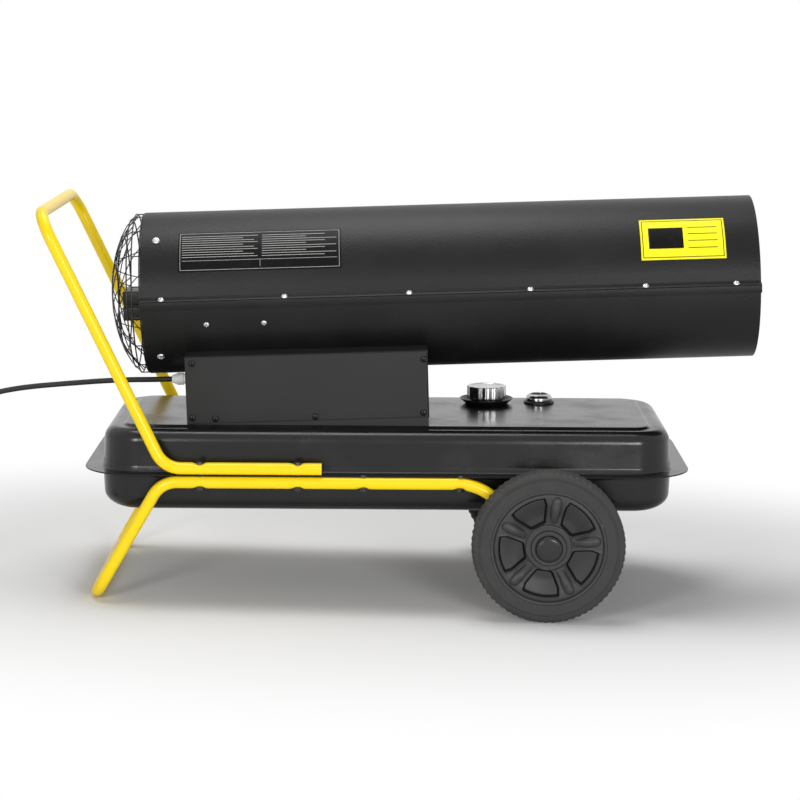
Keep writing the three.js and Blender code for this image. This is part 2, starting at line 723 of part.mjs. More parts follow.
function wheels() {
  const clear = 4; // from the side bar to the wheel
  const middle = barY + TUBE_RADIUS + clear + WHEEL_WIDTH / 2;
  const outside = middle + WHEEL_WIDTH / 2;
  piece(heater, "axle", zinc,
    rod("y", AXLE_RADIUS, -outside - 4, outside + 4, WHEEL_X, WHEEL_RADIUS, 18));
  for (const [word, side] of sides) {
    const put = (made) => {
      made.rotateX(Math.PI / 2);
      if (side > 0) made.rotateZ(Math.PI);
      return made.translate(WHEEL_X, side * middle, WHEEL_RADIUS);
    };
    const cap = turn([
      [0, 5], [AXLE_RADIUS + 1, 5], [AXLE_RADIUS + 1, 0], [18, 0], [20.5, 3], [18, 6.5], [12, 9], [0, 9.5],
    ], 14);
    piece(heater, `wheel_${word}`, wheelPlastic, put(wheelDisc()));
    piece(heater, `tyre_${word}`, tyreRubber, put(tyreRing()));
    piece(heater, `hub_cap_${word}`, blackPlastic, put(cap.translate(0, 0, WHEEL_WIDTH / 2 + GAP)));
  }
}

// ---------------------------------------------------------------- barrel

// The height of a face of the side flanges at a distance from the middle, from its height at their edge.
const seamAt = (y, edgeHeight) => edgeHeight + (SEAM_DROP * (seamEdge - y)) / SEAM_WIDTH;

// Where a circle about the barrel's axis meets a face of the flange, as an angle.
const seamAngle = (radius, edgeHeight) => Math.asin(seamAt(radius, edgeHeight) / radius);

function barrelShells() {
  const outer = BARREL_RADIUS;
  const top = SEAM_HEIGHT + GAP / 2 + SHEET;
  const [a, b] = [seamAngle(outer, top), seamAngle(barrelInner, top - SHEET)];
  const upper = [
    ...arc(outer, a, Math.PI - a, SHELL_STEPS),
    [-seamEdge, top], [-seamEdge, top - SHEET],
    ...arc(barrelInner, Math.PI - b, b, SHELL_STEPS),
    [seamEdge, top - SHEET], [seamEdge, top],
  ];
  piece(barrelFrame, "barrel_upper_shell", blackPaint, extrudedX(upper, -barrelEnd, barrelEnd));

  // the lower shell's flange lies just under the upper one's, with a lip along its edge
  const face = SEAM_HEIGHT - GAP / 2;
  const lipEnd = SEAM_HEIGHT - LOWER_LIP;
  const fold = seamEdge - SHEET;
  const under = seamAt(fold, face - SHEET);
  const [c, d] = [seamAngle(outer, face - SHEET), seamAngle(barrelInner, face)];
  const lower = [
    [seamEdge, face], [seamEdge, lipEnd], [fold, lipEnd], [fold, under],
    ...arc(outer, c, -Math.PI - c, SHELL_STEPS),
    [-fold, under], [-fold, lipEnd], [-seamEdge, lipEnd], [-seamEdge, face],
    ...arc(barrelInner, -Math.PI - d, d, SHELL_STEPS),
  ];
  const holes = HOSE_HOLES.map(([s, y]) => rod("z", 9, -BARREL_RADIUS - 5, -90, s, y, 8));
  piece(barrelFrame, "barrel_lower_shell", blackPaint,
    cut(extrudedX(lower, -barrelEnd, barrelEnd), ...holes));
}

// Wire rings on a dome, joined by wires that run from the rim to the smallest ring.
function inletGuard() {
  const r = GUARD_WIRE / 2;
  const rimS = -barrelEnd - GAP - r;
  const bandS = rimS - GUARD_BAND;
  const rimRadius = barrelInner - 1;
  const domeAt = (t) => [ // t from 0 at the band to 1 at the dome's top
    bandS - GUARD_DEPTH * Math.sin((t * Math.PI) / 2) ** 0.9,
    rimRadius * Math.cos((t * Math.PI) / 2) ** 0.8,
  ];
  const ring = (s, radius) => {
    const around = new THREE.TorusGeometry(radius, r, 3, GUARD_SIDES);
    return along("x", around, s, 0, 0);
  };
  const places = [[rimS, rimRadius], [bandS, rimRadius]];
  const innermost = 0.82;
  for (let i = 1; i <= GUARD_RINGS; i++) places.push(domeAt((i / GUARD_RINGS) * innermost));
  const rings = places.map(([s, radius]) => ring(s, radius));
  const last = places[places.length - 1];
  const spokes = Array.from({ length: GUARD_SPOKES }, (_, i) => {
    const turnBy = (i / GUARD_SPOKES) * 2 * Math.PI;
    const at = (s, radius) =>
      new THREE.Vector3(s, radius * Math.cos(turnBy), radius * Math.sin(turnBy));
    const stations = [[rimS, rimRadius], [bandS, rimRadius]];
    for (let k = 1; k < 4; k++) stations.push(domeAt((k / 4) * innermost));
    stations.push(last);
    return tube(stations.map(([s, radius]) => at(s, radius)), r * 0.9, 3);
  });
  const tabs = [36, 144, 216, 324].map((degrees) => {
    const radius = barrelInner - 4 * GAP - r;
    const at = (s) =>
      new THREE.Vector3(s, radius * Math.cos(rad(degrees)), radius * Math.sin(rad(degrees)));
    return tube([at(rimS - r), at(rimS + r + GAP), at(-barrelEnd + 24)], r, 4, 45);
  });
  piece(barrelFrame, "inlet_guard", wireBlack, join(...rings, ...spokes, ...tabs));
}

function motorAndFan() {
  const end = MOTOR_START + MOTOR_LENGTH;
  const bore = SHAFT_RADIUS + GAP;
  const casing = turn([
    [bore, MOTOR_START], [MOTOR_RADIUS - 16, MOTOR_START], [MOTOR_RADIUS - 3, MOTOR_START + 14],
    [MOTOR_RADIUS, MOTOR_START + 18], [MOTOR_RADIUS, end - 18], [MOTOR_RADIUS - 3, end - 14],
    [MOTOR_RADIUS - 20, end - 4], [18, end], [bore, end],
  ], MOTOR_SIDES, true);
  piece(barrelFrame, "motor", aluminium, along("x", casing));

  // the air pump on the motor's rear, with a bore for the rotor on the shaft, and its filter cover
  const pumpEnd = MOTOR_START - GAP;
  const pumpStart = pumpEnd - PUMP_LENGTH;
  const rotorRadius = PUMP_RADIUS - 14;
  const housing = cut(
    rod("x", PUMP_RADIUS, pumpStart, pumpEnd, 0, 0, 20),
    rod("x", rotorRadius + 1, pumpStart - 1, pumpEnd - 8, 0, 0, 20),
    rod("x", bore, pumpEnd - 9, pumpEnd + 1, 0, 0, 14),
    rod("z", HOSE_RADIUS + 2 * GAP, -PUMP_RADIUS - 2, -PUMP_RADIUS + 8, ...AIR_FITTING, 10),
  );
  piece(barrelFrame, "pump_housing", aluminium, housing);

  const coverEnd = pumpStart - GAP;
  const filter = cut(
    join(
      rod("x", PUMP_RADIUS, coverEnd - 14, coverEnd, 0, 0, 20),
      box(coverEnd - 52, coverEnd - 8, -38, 38, -42, 8),
    ),
    box(coverEnd - 49, coverEnd - 16, -34, 34, -38, 4),
    box(coverEnd - 40, coverEnd - 20, -20, 20, -50, -37),
  );
  piece(barrelFrame, "filter_cover", blackPlastic, filter);

  const shaftEnd = FAN_START + FAN_DEPTH + 8;
  const rotor = rod("x", rotorRadius, pumpStart + 2, pumpEnd - 8 - GAP, 0, 0, 20);
  piece(barrelFrame, "motor_shaft", steel,
    join(rod("x", SHAFT_RADIUS, pumpStart + 4, shaftEnd, 0, 0, 12), rotor));

  const hub = rod("x", 25, FAN_START, FAN_START + FAN_DEPTH, 0, 0, 20);
  const blade = extruded(
    outline([
      [20, -12], [70, -26], [fanRadius - 8, -38], [fanRadius, -20], [fanRadius - 2, 24], [60, 20],
      [20, 12],
    ]),
    2.5,
  );
  // each blade stands out from the hub, turned about its own length by the pitch
  const blades = Array.from({ length: FAN_BLADES }, (_, i) =>
    blade.clone()
      .translate(0, 0, -1.25)
      .rotateX(rad(32))
      .rotateY(-Math.PI / 2)
      .rotateX((i / FAN_BLADES) * 2 * Math.PI)
      .translate(FAN_START + FAN_DEPTH / 2, 0, 0),
  );
  const fanBore = rod("x", SHAFT_RADIUS + GAP, FAN_START - 1, FAN_START + FAN_DEPTH + 1, 0, 0, 14);
  const slab = box(FAN_START - 10, FAN_START + FAN_DEPTH + 10, -200, 200, -200, 200);
  piece(barrelFrame, "fan", aluminium, common(cut(join(hub, ...blades), fanBore), slab));
}

function motorBracket() {
  const s0 = MOTOR_START + 30;
  const s1 = MOTOR_START + 90;
  const clear = MOTOR_RADIUS + GAP;
  const saddle = rod("x", clear + 3, s0, s1, 0, 0, 28);
  const legs = sides.map(([, side]) =>
    box(s0, s1, Math.min(side * 34, side * 38), Math.max(side * 34, side * 38), -140, -30),
  );
  const shelf = box(s0, s1, -38, 38, -106, -102);
  const whole = common(join(saddle, ...legs, shelf), join(
    box(s0 - 1, s1 + 1, -80, 80, -140, 0),
    box(s0 - 1, s1 + 1, -80, 80, -1, 8),
  ));
  const inShell = common(whole, rod("x", insideFit, s0 - 2, s1 + 2, 0, 0, 48));
  const seat = rod("x", clear, s0 - 2, s1 + 2, 0, 0, MOTOR_SIDES);
  piece(barrelFrame, "motor_bracket", boxPaint, cut(inShell, seat));
}

function burner() {
  const start = CHAMBER_START;
  const end = start + CHAMBER_LENGTH;
  const r = chamberRadius;
  const wall = turn([
    [r - SHEET, start + 4], [r, start + 4], [r, end], [r - SHEET, end],
  ], CHAMBER_SIDES, true);
  const stand = (s) => common(
    cut(
      join(
        box(s, s + 22, -52, -48, -140, -40),
        box(s, s + 22, 48, 52, -140, -40),
      ),
      rod("x", r - SHEET / 2, s - 1, s + 23, 0, 0, CHAMBER_SIDES),
    ),
    rod("x", insideFit, s - 1, s + 23, 0, 0, 48),
  );
  piece(barrelFrame, "combustion_chamber", heatSteel,
    join(along("x", wall), stand(start + 60), stand(end - 90)));

  const headEnd = start + 4 - GAP;
  const head = cut(
    join(
      rod("x", r, headEnd - 3, headEnd, 0, 0, CHAMBER_SIDES),
      rod("x", 34, headEnd - 1, headEnd + 60, 0, 0, 20),
    ),
    rod("x", 30, headEnd + 4, headEnd + 61, 0, 0, 20),
    rod("x", 8 + GAP, headEnd - 5, headEnd + 6, 0, 0, 14),
    rod("x", 7 + GAP, headEnd - 5, headEnd + 6, 0, SPARK_N, 14),
  );
  piece(barrelFrame, "burner_head", heatSteel, head);

  const nozzle = join(
    rod("x", 8, headEnd - 10, headEnd + 16, 0, 0, 14),
    rod("x", 12, headEnd - 12, headEnd - 3 - GAP, 0, 0, 6),
    rod("x", 3, headEnd + 14, headEnd + 20, 0, 0, 10),
  );
  piece(barrelFrame, "fuel_nozzle", brass, nozzle);

  const igniter = join(
    rod("x", 7, headEnd - 24, headEnd + 10, 0, SPARK_N, 14),
    rod("x", 10, headEnd - 11, headEnd - 3 - GAP, 0, SPARK_N, 6),
    rod("x", 1.5, headEnd + 9, headEnd + 22, 0, SPARK_N, 8),
  );
  piece(barrelFrame, "spark_plug", ceramic, igniter);

  // the outlet cone with a round baffle held by three bars
  const s = end + GAP;
  const tip = s + DIFFUSER_LENGTH;
  const cone = turn([
    [r - 1.5, s], [r, s], [r - 26, tip], [r - 27.5, tip],
  ], CHAMBER_SIDES, true);
  const baffle = turn([[0, s + 20], [44, s + 26], [44, s + 27.5], [0, s + 21.5]], 20);
  const bars = [90, 210, 330].map((degrees) =>
    box(s + 24, s + 27, 0, r - 8, -6, 6).rotateX(rad(degrees)),
  );
  const diffuser = join(along("x", cone), along("x", baffle), ...bars);
  piece(barrelFrame, "outlet_diffuser", heatSteel, diffuser);
}

// ---------------------------------------------------------------- control box

function controlBox() {
  const inner = [BOX_LEFT + SHEET, boxRight - SHEET];
  const profile = [
    [-boxHalf, BOX_BOTTOM], [boxHalf, BOX_BOTTOM], [boxHalf, BOX_TOP], [84, BOX_TOP + BOX_SHOULDER],
    [-84, BOX_TOP + BOX_SHOULDER], [-boxHalf, BOX_TOP],
  ];
  const hollow = [
    [-boxHalf - 1, BOX_BOTTOM + SHEET], [boxHalf + 1, BOX_BOTTOM + SHEET],
    [boxHalf + 1, BOX_TOP - SHEET], [84, BOX_TOP + BOX_SHOULDER - SHEET],
    [-84, BOX_TOP + BOX_SHOULDER - SHEET], [-boxHalf - 1, BOX_TOP - SHEET],
  ];
  const suction = fromTank(SUCTION_X, SUCTION_Y, SUCTION_END);
  const [suctionS] = turned(-BARREL_TILT, suction.x - BARREL_X, suction.z - BARREL_Z);
  const chassis = cut(
    extrudedX(profile, BOX_LEFT, boxRight),
    extrudedX(hollow, ...inner),
    rod("x", BARREL_RADIUS + 2 * GAP, BOX_LEFT - 1, boxRight + 1, 0, 0, 48),
    rod("x", GLAND_NECK + GAP + 0.2, BOX_LEFT - 1, BOX_LEFT + 4, GLAND_Y, GLAND_N, 16),
    rod("z", 8, BOX_BOTTOM - 1, BOX_BOTTOM + 4, suctionS, SUCTION_Y, 14),
  );
  piece(barrelFrame, "box_chassis", boxPaint, chassis);

  const plate = (side) => {
    const [y0, y1] = [boxHalf + GAP, boxHalf + GAP + SHEET].map((y) => y * side).sort((p, q) => p - q);
    return box(BOX_LEFT, boxRight, y0, y1, BOX_BOTTOM, BOX_TOP);
  };
  piece(barrelFrame, "box_cover_near", boxPaint, plate(-1));

  const face = boxHalf + GAP;
  const panel = cut(
    plate(1),
    box(ROCKER_S - 14, ROCKER_S + 14, face - 1, face + 3, CONTROL_N - 11, CONTROL_N + 11),
    rod("y", 4 + GAP, face - 1, face + 3, KNOB_S, CONTROL_N, 14),
    rod("y", 6 + GAP, face - 1, face + 3, RESET_S, CONTROL_N, 14),
  );
  piece(barrelFrame, "control_panel_far", boxPaint, panel);
  controls(face + SHEET);
}

function controls(face) {
  // one housing holds the power rocker and, in a sleeve beside it, the reset button
  const right = RESET_S + 10;
  const housing = cut(
    join(
      box(ROCKER_S - 17, right, face + GAP, face + 2.5, CONTROL_N - 14, CONTROL_N + 14),
      box(ROCKER_S - 13.5, ROCKER_S + 13.5, face - 24, face + 1, CONTROL_N - 10.5, CONTROL_N + 10.5),
      rod("y", 6, face - 18, face + 1, RESET_S, CONTROL_N, 14),
    ),
    box(ROCKER_S - 11.5, ROCKER_S + 11.5, face - 14, face + 3, CONTROL_N - 8.5, CONTROL_N + 8.5),
    rod("y", RESET_RADIUS + GAP, face - 15, face + 3, RESET_S, CONTROL_N, 14),
  );
  piece(barrelFrame, "switch_housing", blackPlastic, housing);
  const rocker = extrudedY([[-9.8, 0], [9.8, 0], [9, 5.25], [0, 5.6], [-9, 7.5]], -8, 8);
  piece(barrelFrame, "power_rocker", redPaint,
    rocker.rotateX(-Math.PI / 2).translate(ROCKER_S, face - 3, CONTROL_N));
  piece(barrelFrame, "reset_button", redPaint,
    rod("y", RESET_RADIUS, face - 10, face + 4.5, RESET_S, CONTROL_N, 14));

  // the thermostat: a potentiometer behind the panel and a knob on its spindle
  const pot = join(
    rod("y", 12, face - SHEET - GAP - 13, face - SHEET - GAP, KNOB_S, CONTROL_N, 18),
    rod("y", 4, face - SHEET - GAP - 1, face + 3, KNOB_S, CONTROL_N, 12),
  );
  piece(barrelFrame, "thermostat", darkZinc, pot);
  const ribbed = Array.from({ length: 36 }, (_, i) => {
    const angle = (i / 36) * 2 * Math.PI;
    const r = KNOB_RADIUS - (i % 3 === 0 ? 1.2 : 0);
    return [r * Math.cos(angle), r * Math.sin(angle)];
  });
  const knob = join(
    extruded(outline(ribbed), 12),
    box(-2, 2, 0, KNOB_RADIUS - 4, 11, 15),
  );
  const made = cut(knob, rod("z", 4 + GAP, -1, 4, 0, 0, 12));
  made.rotateX(-Math.PI / 2);
  piece(barrelFrame, "thermostat_knob", blackPlastic, made.translate(KNOB_S, face + GAP, CONTROL_N));
}

function boxInside() {
  const floor = BOX_BOTTOM + SHEET + GAP;
  const board = join(
    box(-235, -75, 40, 120, floor + 10, floor + 11.6),
    ...[[-230, 45], [-80, 45], [-230, 115], [-80, 115]].map(([s, y]) =>
      rod("z", 4, floor, floor + 11, s, y, 6)),
    box(-215, -190, 55, 95, floor + 11, floor + 31),
    box(-170, -150, 60, 80, floor + 11, floor + 27),
    box(-130, -95, 60, 100, floor + 11, floor + 24),
  );
  piece(barrelFrame, "control_board", boardGreen, board);
  const transformer = join(
    box(-405, -335, 44, 104, floor, floor + 48),
    rod("y", 6, 34, 45, -385, floor + 24, 12),
    rod("y", 6, 34, 45, -355, floor + 24, 12),
  );
  piece(barrelFrame, "ignition_transformer", blackPlastic, transformer);
}

// ---------------------------------------------------------------- hoses

// A hose through points that a smooth curve joins.
function hose(name, points, steps) {
  piece(heater, name, cordRubber, tube(smooth(points, steps), HOSE_RADIUS, 6));
}

function hoses() {
  const [[inS, inY], [fuelS, fuelY], [outS, outY]] = HOSE_HOLES;
  const face = CHAMBER_START + 4 - GAP - 3; // rear face of the burner head
  const nut = face - 9 - GAP;
  hose("fuel_hose", [
    fromTank(SUCTION_X, SUCTION_Y, SUCTION_END + GAP),
    fromTank(SUCTION_X, SUCTION_Y, SUCTION_END + 10),
    fromBarrel(-276, -37, -barrelInner - 23),
    fromBarrel(fuelS, fuelY, 1 - barrelInner),
    fromBarrel(fuelS, fuelY, 39 - barrelInner),
    fromBarrel(fuelS, fuelY, -50),
    fromBarrel(-251, -16, -8),
    fromBarrel(nut - 8, 0, 0),
    fromBarrel(nut, 0, 0),
  ], 18);
  hose("air_hose", [
    fromBarrel(...AIR_FITTING, -PUMP_RADIUS + 5),
    fromBarrel(...AIR_FITTING, -PUMP_RADIUS - 5),
    fromBarrel(...AIR_FITTING, -PUMP_RADIUS - 14),
    fromBarrel(AIR_FITTING[0] + 14, -22, 45 - barrelInner),
    fromBarrel(inS - 8, inY + 3, 23 - barrelInner),
    fromBarrel(inS, inY, -barrelInner),
    fromBarrel(inS + 26, inY + 10, -barrelInner - 29),
    fromBarrel((inS + outS) / 2, -8, -barrelInner - 37),
    fromBarrel(outS - 26, outY - 10, -barrelInner - 29),
    fromBarrel(outS, outY, -barrelInner - 3),
    fromBarrel(outS, outY, 39 - barrelInner),
    fromBarrel(outS, 30, -58),
    fromBarrel(-242, 27, -32),
    fromBarrel(face - 10, 24, -24),
    fromBarrel(face - GAP, 24, -24),
  ], 28);
}

// ---------------------------------------------------------------- power cord

function cordGland() {
  const nose = turn([[0, -1], [GLAND_RADIUS, -1], [GLAND_RADIUS, 0], [6.4, 6.5], [0, 6.5]], 16);
  nose.rotateX(Math.PI);
  const gland = join(
    rod("x", GLAND_NECK, BOX_LEFT - 3, BOX_LEFT + 12, GLAND_Y, GLAND_N, 12),
    rod("x", GLAND_RADIUS, BOX_LEFT - 22, BOX_LEFT - GAP, GLAND_Y, GLAND_N, 16),
    along("x", nose, BOX_LEFT - 22, GLAND_Y, GLAND_N),
    rod("x", 11, BOX_LEFT + SHEET + GAP, BOX_LEFT + SHEET + 6, GLAND_Y, GLAND_N, 6),
  );
  piece(barrelFrame, "cord_gland", greyPlastic, gland);
}

// The free stretch, by hand: level out of the gland, down to the floor and along it to the coil.
const CORD_ROUTE = [
  [-412, -70, 350.6], [-442, -70, 349.4], [-472, -70.5, 347.8], [-505, -71.5, 345.2],
  [-540, -73, 341.8], [-575, -74.5, 338.2], [-610, -76, 334.2], [-645, -78, 328.8],
  [-676, -80, 321.5], [-703, -82, 310], [-725, -84, 293], [-741, -86, 270], [-751, -88, 243],
  [-757, -90, 213], [-761, -92, 182], [-764, -94, 150], [-767, -96, 118], [-771, -98, 88],
  [-778, -100, 60], [-789, -102.5, 35], [-804, -105, 16.5], [-822, -107, 7.2], [-838, -108, 4.6],
];

function coilRoute() {
  const turns = COIL_TURNS;
  const steps = Math.round(turns * COIL_STEPS);
  const low = CORD_RADIUS + 0.1;
  const climbFrom = turns / 2 - 0.25;
  const points = [];
  for (let i = 0; i <= steps; i++) {
    const done = (i / steps) * turns;
    const inward = done < turns / 2 ? done : turns - done;
    const climb = THREE.MathUtils.smoothstep(done, climbFrom, climbFrom + 0.5);
    const angle = Math.PI / 2 + done * 2 * Math.PI;
    const radius = COIL_RADIUS - COIL_PITCH * inward;
    points.push(new THREE.Vector3(
      COIL_X + radius * Math.cos(angle),
      COIL_Y + radius * Math.sin(angle),
      low + COIL_PITCH * climb,
    ));
  }
  const straight = 2 * CORD_RADIUS;
  const lead = points[0].clone().add(new THREE.Vector3(straight, 0, 0));
  const tail = points[steps].clone().add(new THREE.Vector3(straight, 0, 0));
  return [lead, ...points, tail];
}

// The least gap between stretches of the coil that aren't the same stretch, measured on its points.
function coilGap(points) {
  const apart = COIL_STEPS / 2;
  let least = Infinity;
  points.forEach((p, i) => {
    for (let j = i + apart; j < points.length; j++) least = Math.min(least, p.distanceTo(points[j]));
  });
  return least - 2 * CORD_RADIUS;
}

const lengthOf = (points) =>
  points.slice(1).reduce((sum, p, i) => sum + p.distanceTo(points[i]), 0);

function powerCord() {
  const exit = fromBarrel(BOX_LEFT - GLAND_LENGTH - GAP, GLAND_Y, GLAND_N);
  const straight = fromBarrel(BOX_LEFT - GLAND_LENGTH - 12, GLAND_Y, GLAND_N);
  const coil = coilRoute();
  const end = coil[0].clone().add(new THREE.Vector3(GAP, 0, 0));
  const free = [exit, straight, ...CORD_ROUTE.map((p) => new THREE.Vector3(...p)), end];
  const route = smooth(free, CORD_STEPS);
  piece(heater, "power_cord", cordRubber, tube(route, CORD_RADIUS, CORD_SIDES));
  piece(heater, "power_cord_coil", cordRubber, tube(coil, CORD_RADIUS, COIL_SIDES));
  plug(coil[coil.length - 1]);
  console.log(
    `cord: least gap in the coil ${coilGap(coil).toFixed(2)} mm, free stretch ` +
      `${lengthOf(route).toFixed(0)} mm, coil ${lengthOf(coil).toFixed(0)} mm`,
  );
}

// A moulded plug with two round pins, lying beside the coil.
function plug(at) {
  const body = turn([
    [0, GAP], [6.5, GAP], [8, 14], [PLUG_RADIUS - 3, 18], [PLUG_RADIUS, 24], [PLUG_RADIUS, PLUG_LENGTH],
    [0, PLUG_LENGTH],
  ], 16);
  const pins = [-9.5, 9.5].map((y) => rod("z", 2.4, PLUG_LENGTH - 1, PLUG_LENGTH + 19, 0, y, 8));
  const whole = along("x", join(body, ...pins));
  piece(heater, "cord_plug", cordRubber, whole.translate(at.x, at.y, at.z));
}

// ---------------------------------------------------------------- everything

tankShells();
filler();
gauge();
tankFittings();
boxRail();
piece(heater, "handle_frame", yellowPaint, handleFrame());
piece(heater, "leg_frame", yellowPaint, legFrame());
frameBolts();
wheels();
barrelShells();
inletGuard();
motorAndFan();
motorBracket();
burner();
controlBox();
boxInside();
hoses();
cordGland();
powerCord();

export default heater;
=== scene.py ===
"""Forced air heater on a two-wheeled cart: its finished pieces, their paints and the studio.

The makers below work in millimetres in a leaning frame (along, across, up) and hand over metres.
"""

import math

import bmesh
import bpy
import numpy as np
from mathutils import Matrix, Vector
from mathutils.geometry import tessellate_polygon


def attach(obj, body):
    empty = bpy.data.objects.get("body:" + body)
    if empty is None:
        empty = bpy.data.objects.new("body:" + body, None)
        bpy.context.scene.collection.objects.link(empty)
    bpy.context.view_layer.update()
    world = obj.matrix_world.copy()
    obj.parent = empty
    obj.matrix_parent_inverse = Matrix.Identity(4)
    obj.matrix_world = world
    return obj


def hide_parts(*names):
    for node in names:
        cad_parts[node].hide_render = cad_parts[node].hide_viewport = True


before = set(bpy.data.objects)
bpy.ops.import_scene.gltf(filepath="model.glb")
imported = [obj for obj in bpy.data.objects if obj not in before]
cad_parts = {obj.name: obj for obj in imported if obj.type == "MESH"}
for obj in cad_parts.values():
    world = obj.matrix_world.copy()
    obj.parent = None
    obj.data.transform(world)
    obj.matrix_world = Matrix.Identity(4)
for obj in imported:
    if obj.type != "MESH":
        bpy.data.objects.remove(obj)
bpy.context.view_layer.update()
scene = bpy.context.scene
scene.view_settings.view_transform = "Standard"
TURN = 2 * math.pi
SIDES = (("near", -1), ("far", 1))


# ---------------------------------------------------------------- places

class Lean:
    """A frame that leans about Y. Its point (a, y, n) is (x + a cos t - n sin t, y, z + a sin t + n cos t)."""

    def __init__(self, x, z, degrees):
        self.x, self.z, self.t = x, z, math.radians(degrees)

    def __call__(self, points):
        a, y, n = np.moveaxis(np.asarray(points, float), -1, 0)
        c, s = math.cos(self.t), math.sin(self.t)
        return np.stack([self.x + a * c - n * s, y, self.z + a * s + n * c], -1) / 1000

    def at(self, *point):
        """One point of this frame, from the floor's origin in millimetres."""
        return self([point])[0] * 1000


FLOOR = Lean(0, 0, 0)
TANK = Lean(-16.5, 224.6, 1.35)
BARREL = Lean(79.8, 518, 3.4)

# the sizes that more than one maker needs, in millimetres in those frames
BARREL_END, BARREL_SKIN, BARREL_MIDDLE = 510.5, 136.2, 135.7
SEAM_EDGE = 148.2
TANK_TOP = 72.4
CAP, GAUGE = (172, 90), (264, 98)
BOX_LEFT, BOX_RIGHT, BOX_TOP, BOX_LOW = -441.5, -40.5, -91.0, -202.4
GLAND_Y, GLAND_N = -70, -138
PANEL_Y = 148.3
BAR_Y, BAR_LIFT, TUBE = 214, 11.45, 10.0
WHEEL = (249.5, 251, 125)


# ---------------------------------------------------------------- camera

def place_camera():
    """The photo's camera: a 113 mm lens, its axes in the columns and its place in metres in the last one."""
    lens = bpy.data.cameras.new("camera")
    lens.lens, lens.sensor_width, lens.clip_end = 113.13, 36, 100
    eye = bpy.data.objects.new("camera", lens)
    eye.matrix_world = Matrix((
        (0.9995515, -0.0296660, -0.0041019, -0.015138),
        (0.0007849, 0.1628713, -0.9866470, -4.242583),
        (0.0299380, 0.9862012, 0.1628216, 1.016633),
        (0, 0, 0, 1),
    ))
    scene.collection.objects.link(eye)
    scene.camera = eye


place_camera()


# ---------------------------------------------------------------- lines

def unit(v):
    return v / np.maximum(np.linalg.norm(v, axis=-1, keepdims=True), 1e-12)


def line(*points):
    return np.array(points, float)


def distinct(points, closed=False):
    """The line without points that repeat the one before them."""
    apart = np.linalg.norm(points - np.roll(points, 1, 0), axis=1) > 1e-6
    if not closed:
        apart[0] = True
    return points[apart]


def soften(points, radius, steps=6, closed=False):
    """Rounds corners: P becomes ((1-t)^2 A + 2 t (1-t) w P + t^2 B) over the same weights, an arc from A to B."""
    p = np.asarray(points, float)
    back, on = np.roll(p, 1, 0) - p, np.roll(p, -1, 0) - p
    reach_back = np.linalg.norm(back, axis=1, keepdims=True)
    reach_on = np.linalg.norm(on, axis=1, keepdims=True)
    cosine = -np.sum(unit(back) * unit(on), 1, keepdims=True)
    bend = np.arccos(np.clip(cosine, -1, 1))
    wanted = np.reshape(np.broadcast_to(radius, len(p)), (-1, 1)) * np.tan(np.minimum(bend, 3.0) / 2)
    reach = np.minimum(wanted, 0.49 * np.minimum(reach_back, reach_on))
    a, b, w = p + unit(back) * reach, p + unit(on) * reach, np.cos(bend / 2)
    t = np.linspace(0, 1, steps + 1)[None, :, None]
    a, b, p3, w = a[:, None], b[:, None], p[:, None], w[:, None]
    top = (1 - t) ** 2 * a + 2 * t * (1 - t) * w * p3 + t ** 2 * b
    rows = top / ((1 - t) ** 2 + 2 * t * (1 - t) * w + t ** 2)
    if closed:
        return distinct(rows.reshape(-1, p.shape[1]), True)
    return distinct(np.vstack([p[:1], rows[1:-1].reshape(-1, p.shape[1]), p[-1:]]))


def through(points, per=6):
    """A smooth line through points: a cubic on each span, with a slope that it shares with the next one."""
    p = np.asarray(points, float)
    gap = np.linalg.norm(np.diff(p, axis=0), axis=1)[:, None]
    slope = np.diff(p, axis=0) / gap
    lean = np.empty_like(p)
    lean[1:-1] = (slope[:-1] * gap[1:] + slope[1:] * gap[:-1]) / (gap[:-1] + gap[1:])
    lean[0], lean[-1] = slope[0], slope[-1]
    t = np.linspace(0, 1, per, endpoint=False)[None, :, None]
    a, b = p[:-1, None], p[1:, None]
    da, db = (lean[:-1] * gap)[:, None], (lean[1:] * gap)[:, None]
    run = a * (2 * t ** 3 - 3 * t ** 2 + 1) + da * (t ** 3 - 2 * t ** 2 + t)
    run = run + b * (3 * t ** 2 - 2 * t ** 3) + db * (t ** 3 - t ** 2)
    return np.vstack([run.reshape(-1, p.shape[1]), p[-1:]])


def arc(radius, start, stop, steps, middle=(0, 0)):
    """Points at radius about middle, from one angle in degrees to another."""
    angle = np.radians(np.linspace(start, stop, steps + 1))
    return np.stack([middle[0] + radius * np.cos(angle), middle[1] + radius * np.sin(angle)], 1)


def ring(radius, sides=12):
    return arc(radius, 0, 360, sides)[:-1]


def rounded_box(x0, x1, y0, y1, radius, steps=5):
    return soften(line((x0, y0), (x1, y0), (x1, y1), (x0, y1)), radius, steps, closed=True)


def beside(points, distance, closed=False):
    """The line moved to its left by a distance, mitred: p + d (m + n) / (1 + m.n) for the normals m, n at p."""
    step = unit(np.roll(points, -1, 0) - points)
    if not closed:
        step[-1] = step[-2]
    before = np.roll(step, 1, 0)
    if not closed:
        before[0] = step[0]
    m = np.stack([-before[:, 1], before[:, 0]], 1)
    n = np.stack([-step[:, 1], step[:, 0]], 1)
    return points + distance * (m + n) / (1 + np.sum(m * n, 1, keepdims=True))


def step_up(t, low, high):
    """0 below low, 1 above high, and 3u^2 - 2u^3 between them."""
    u = np.clip((t - low) / (high - low), 0, 1)
    return u * u * (3 - 2 * u)


# ---------------------------------------------------------------- skins

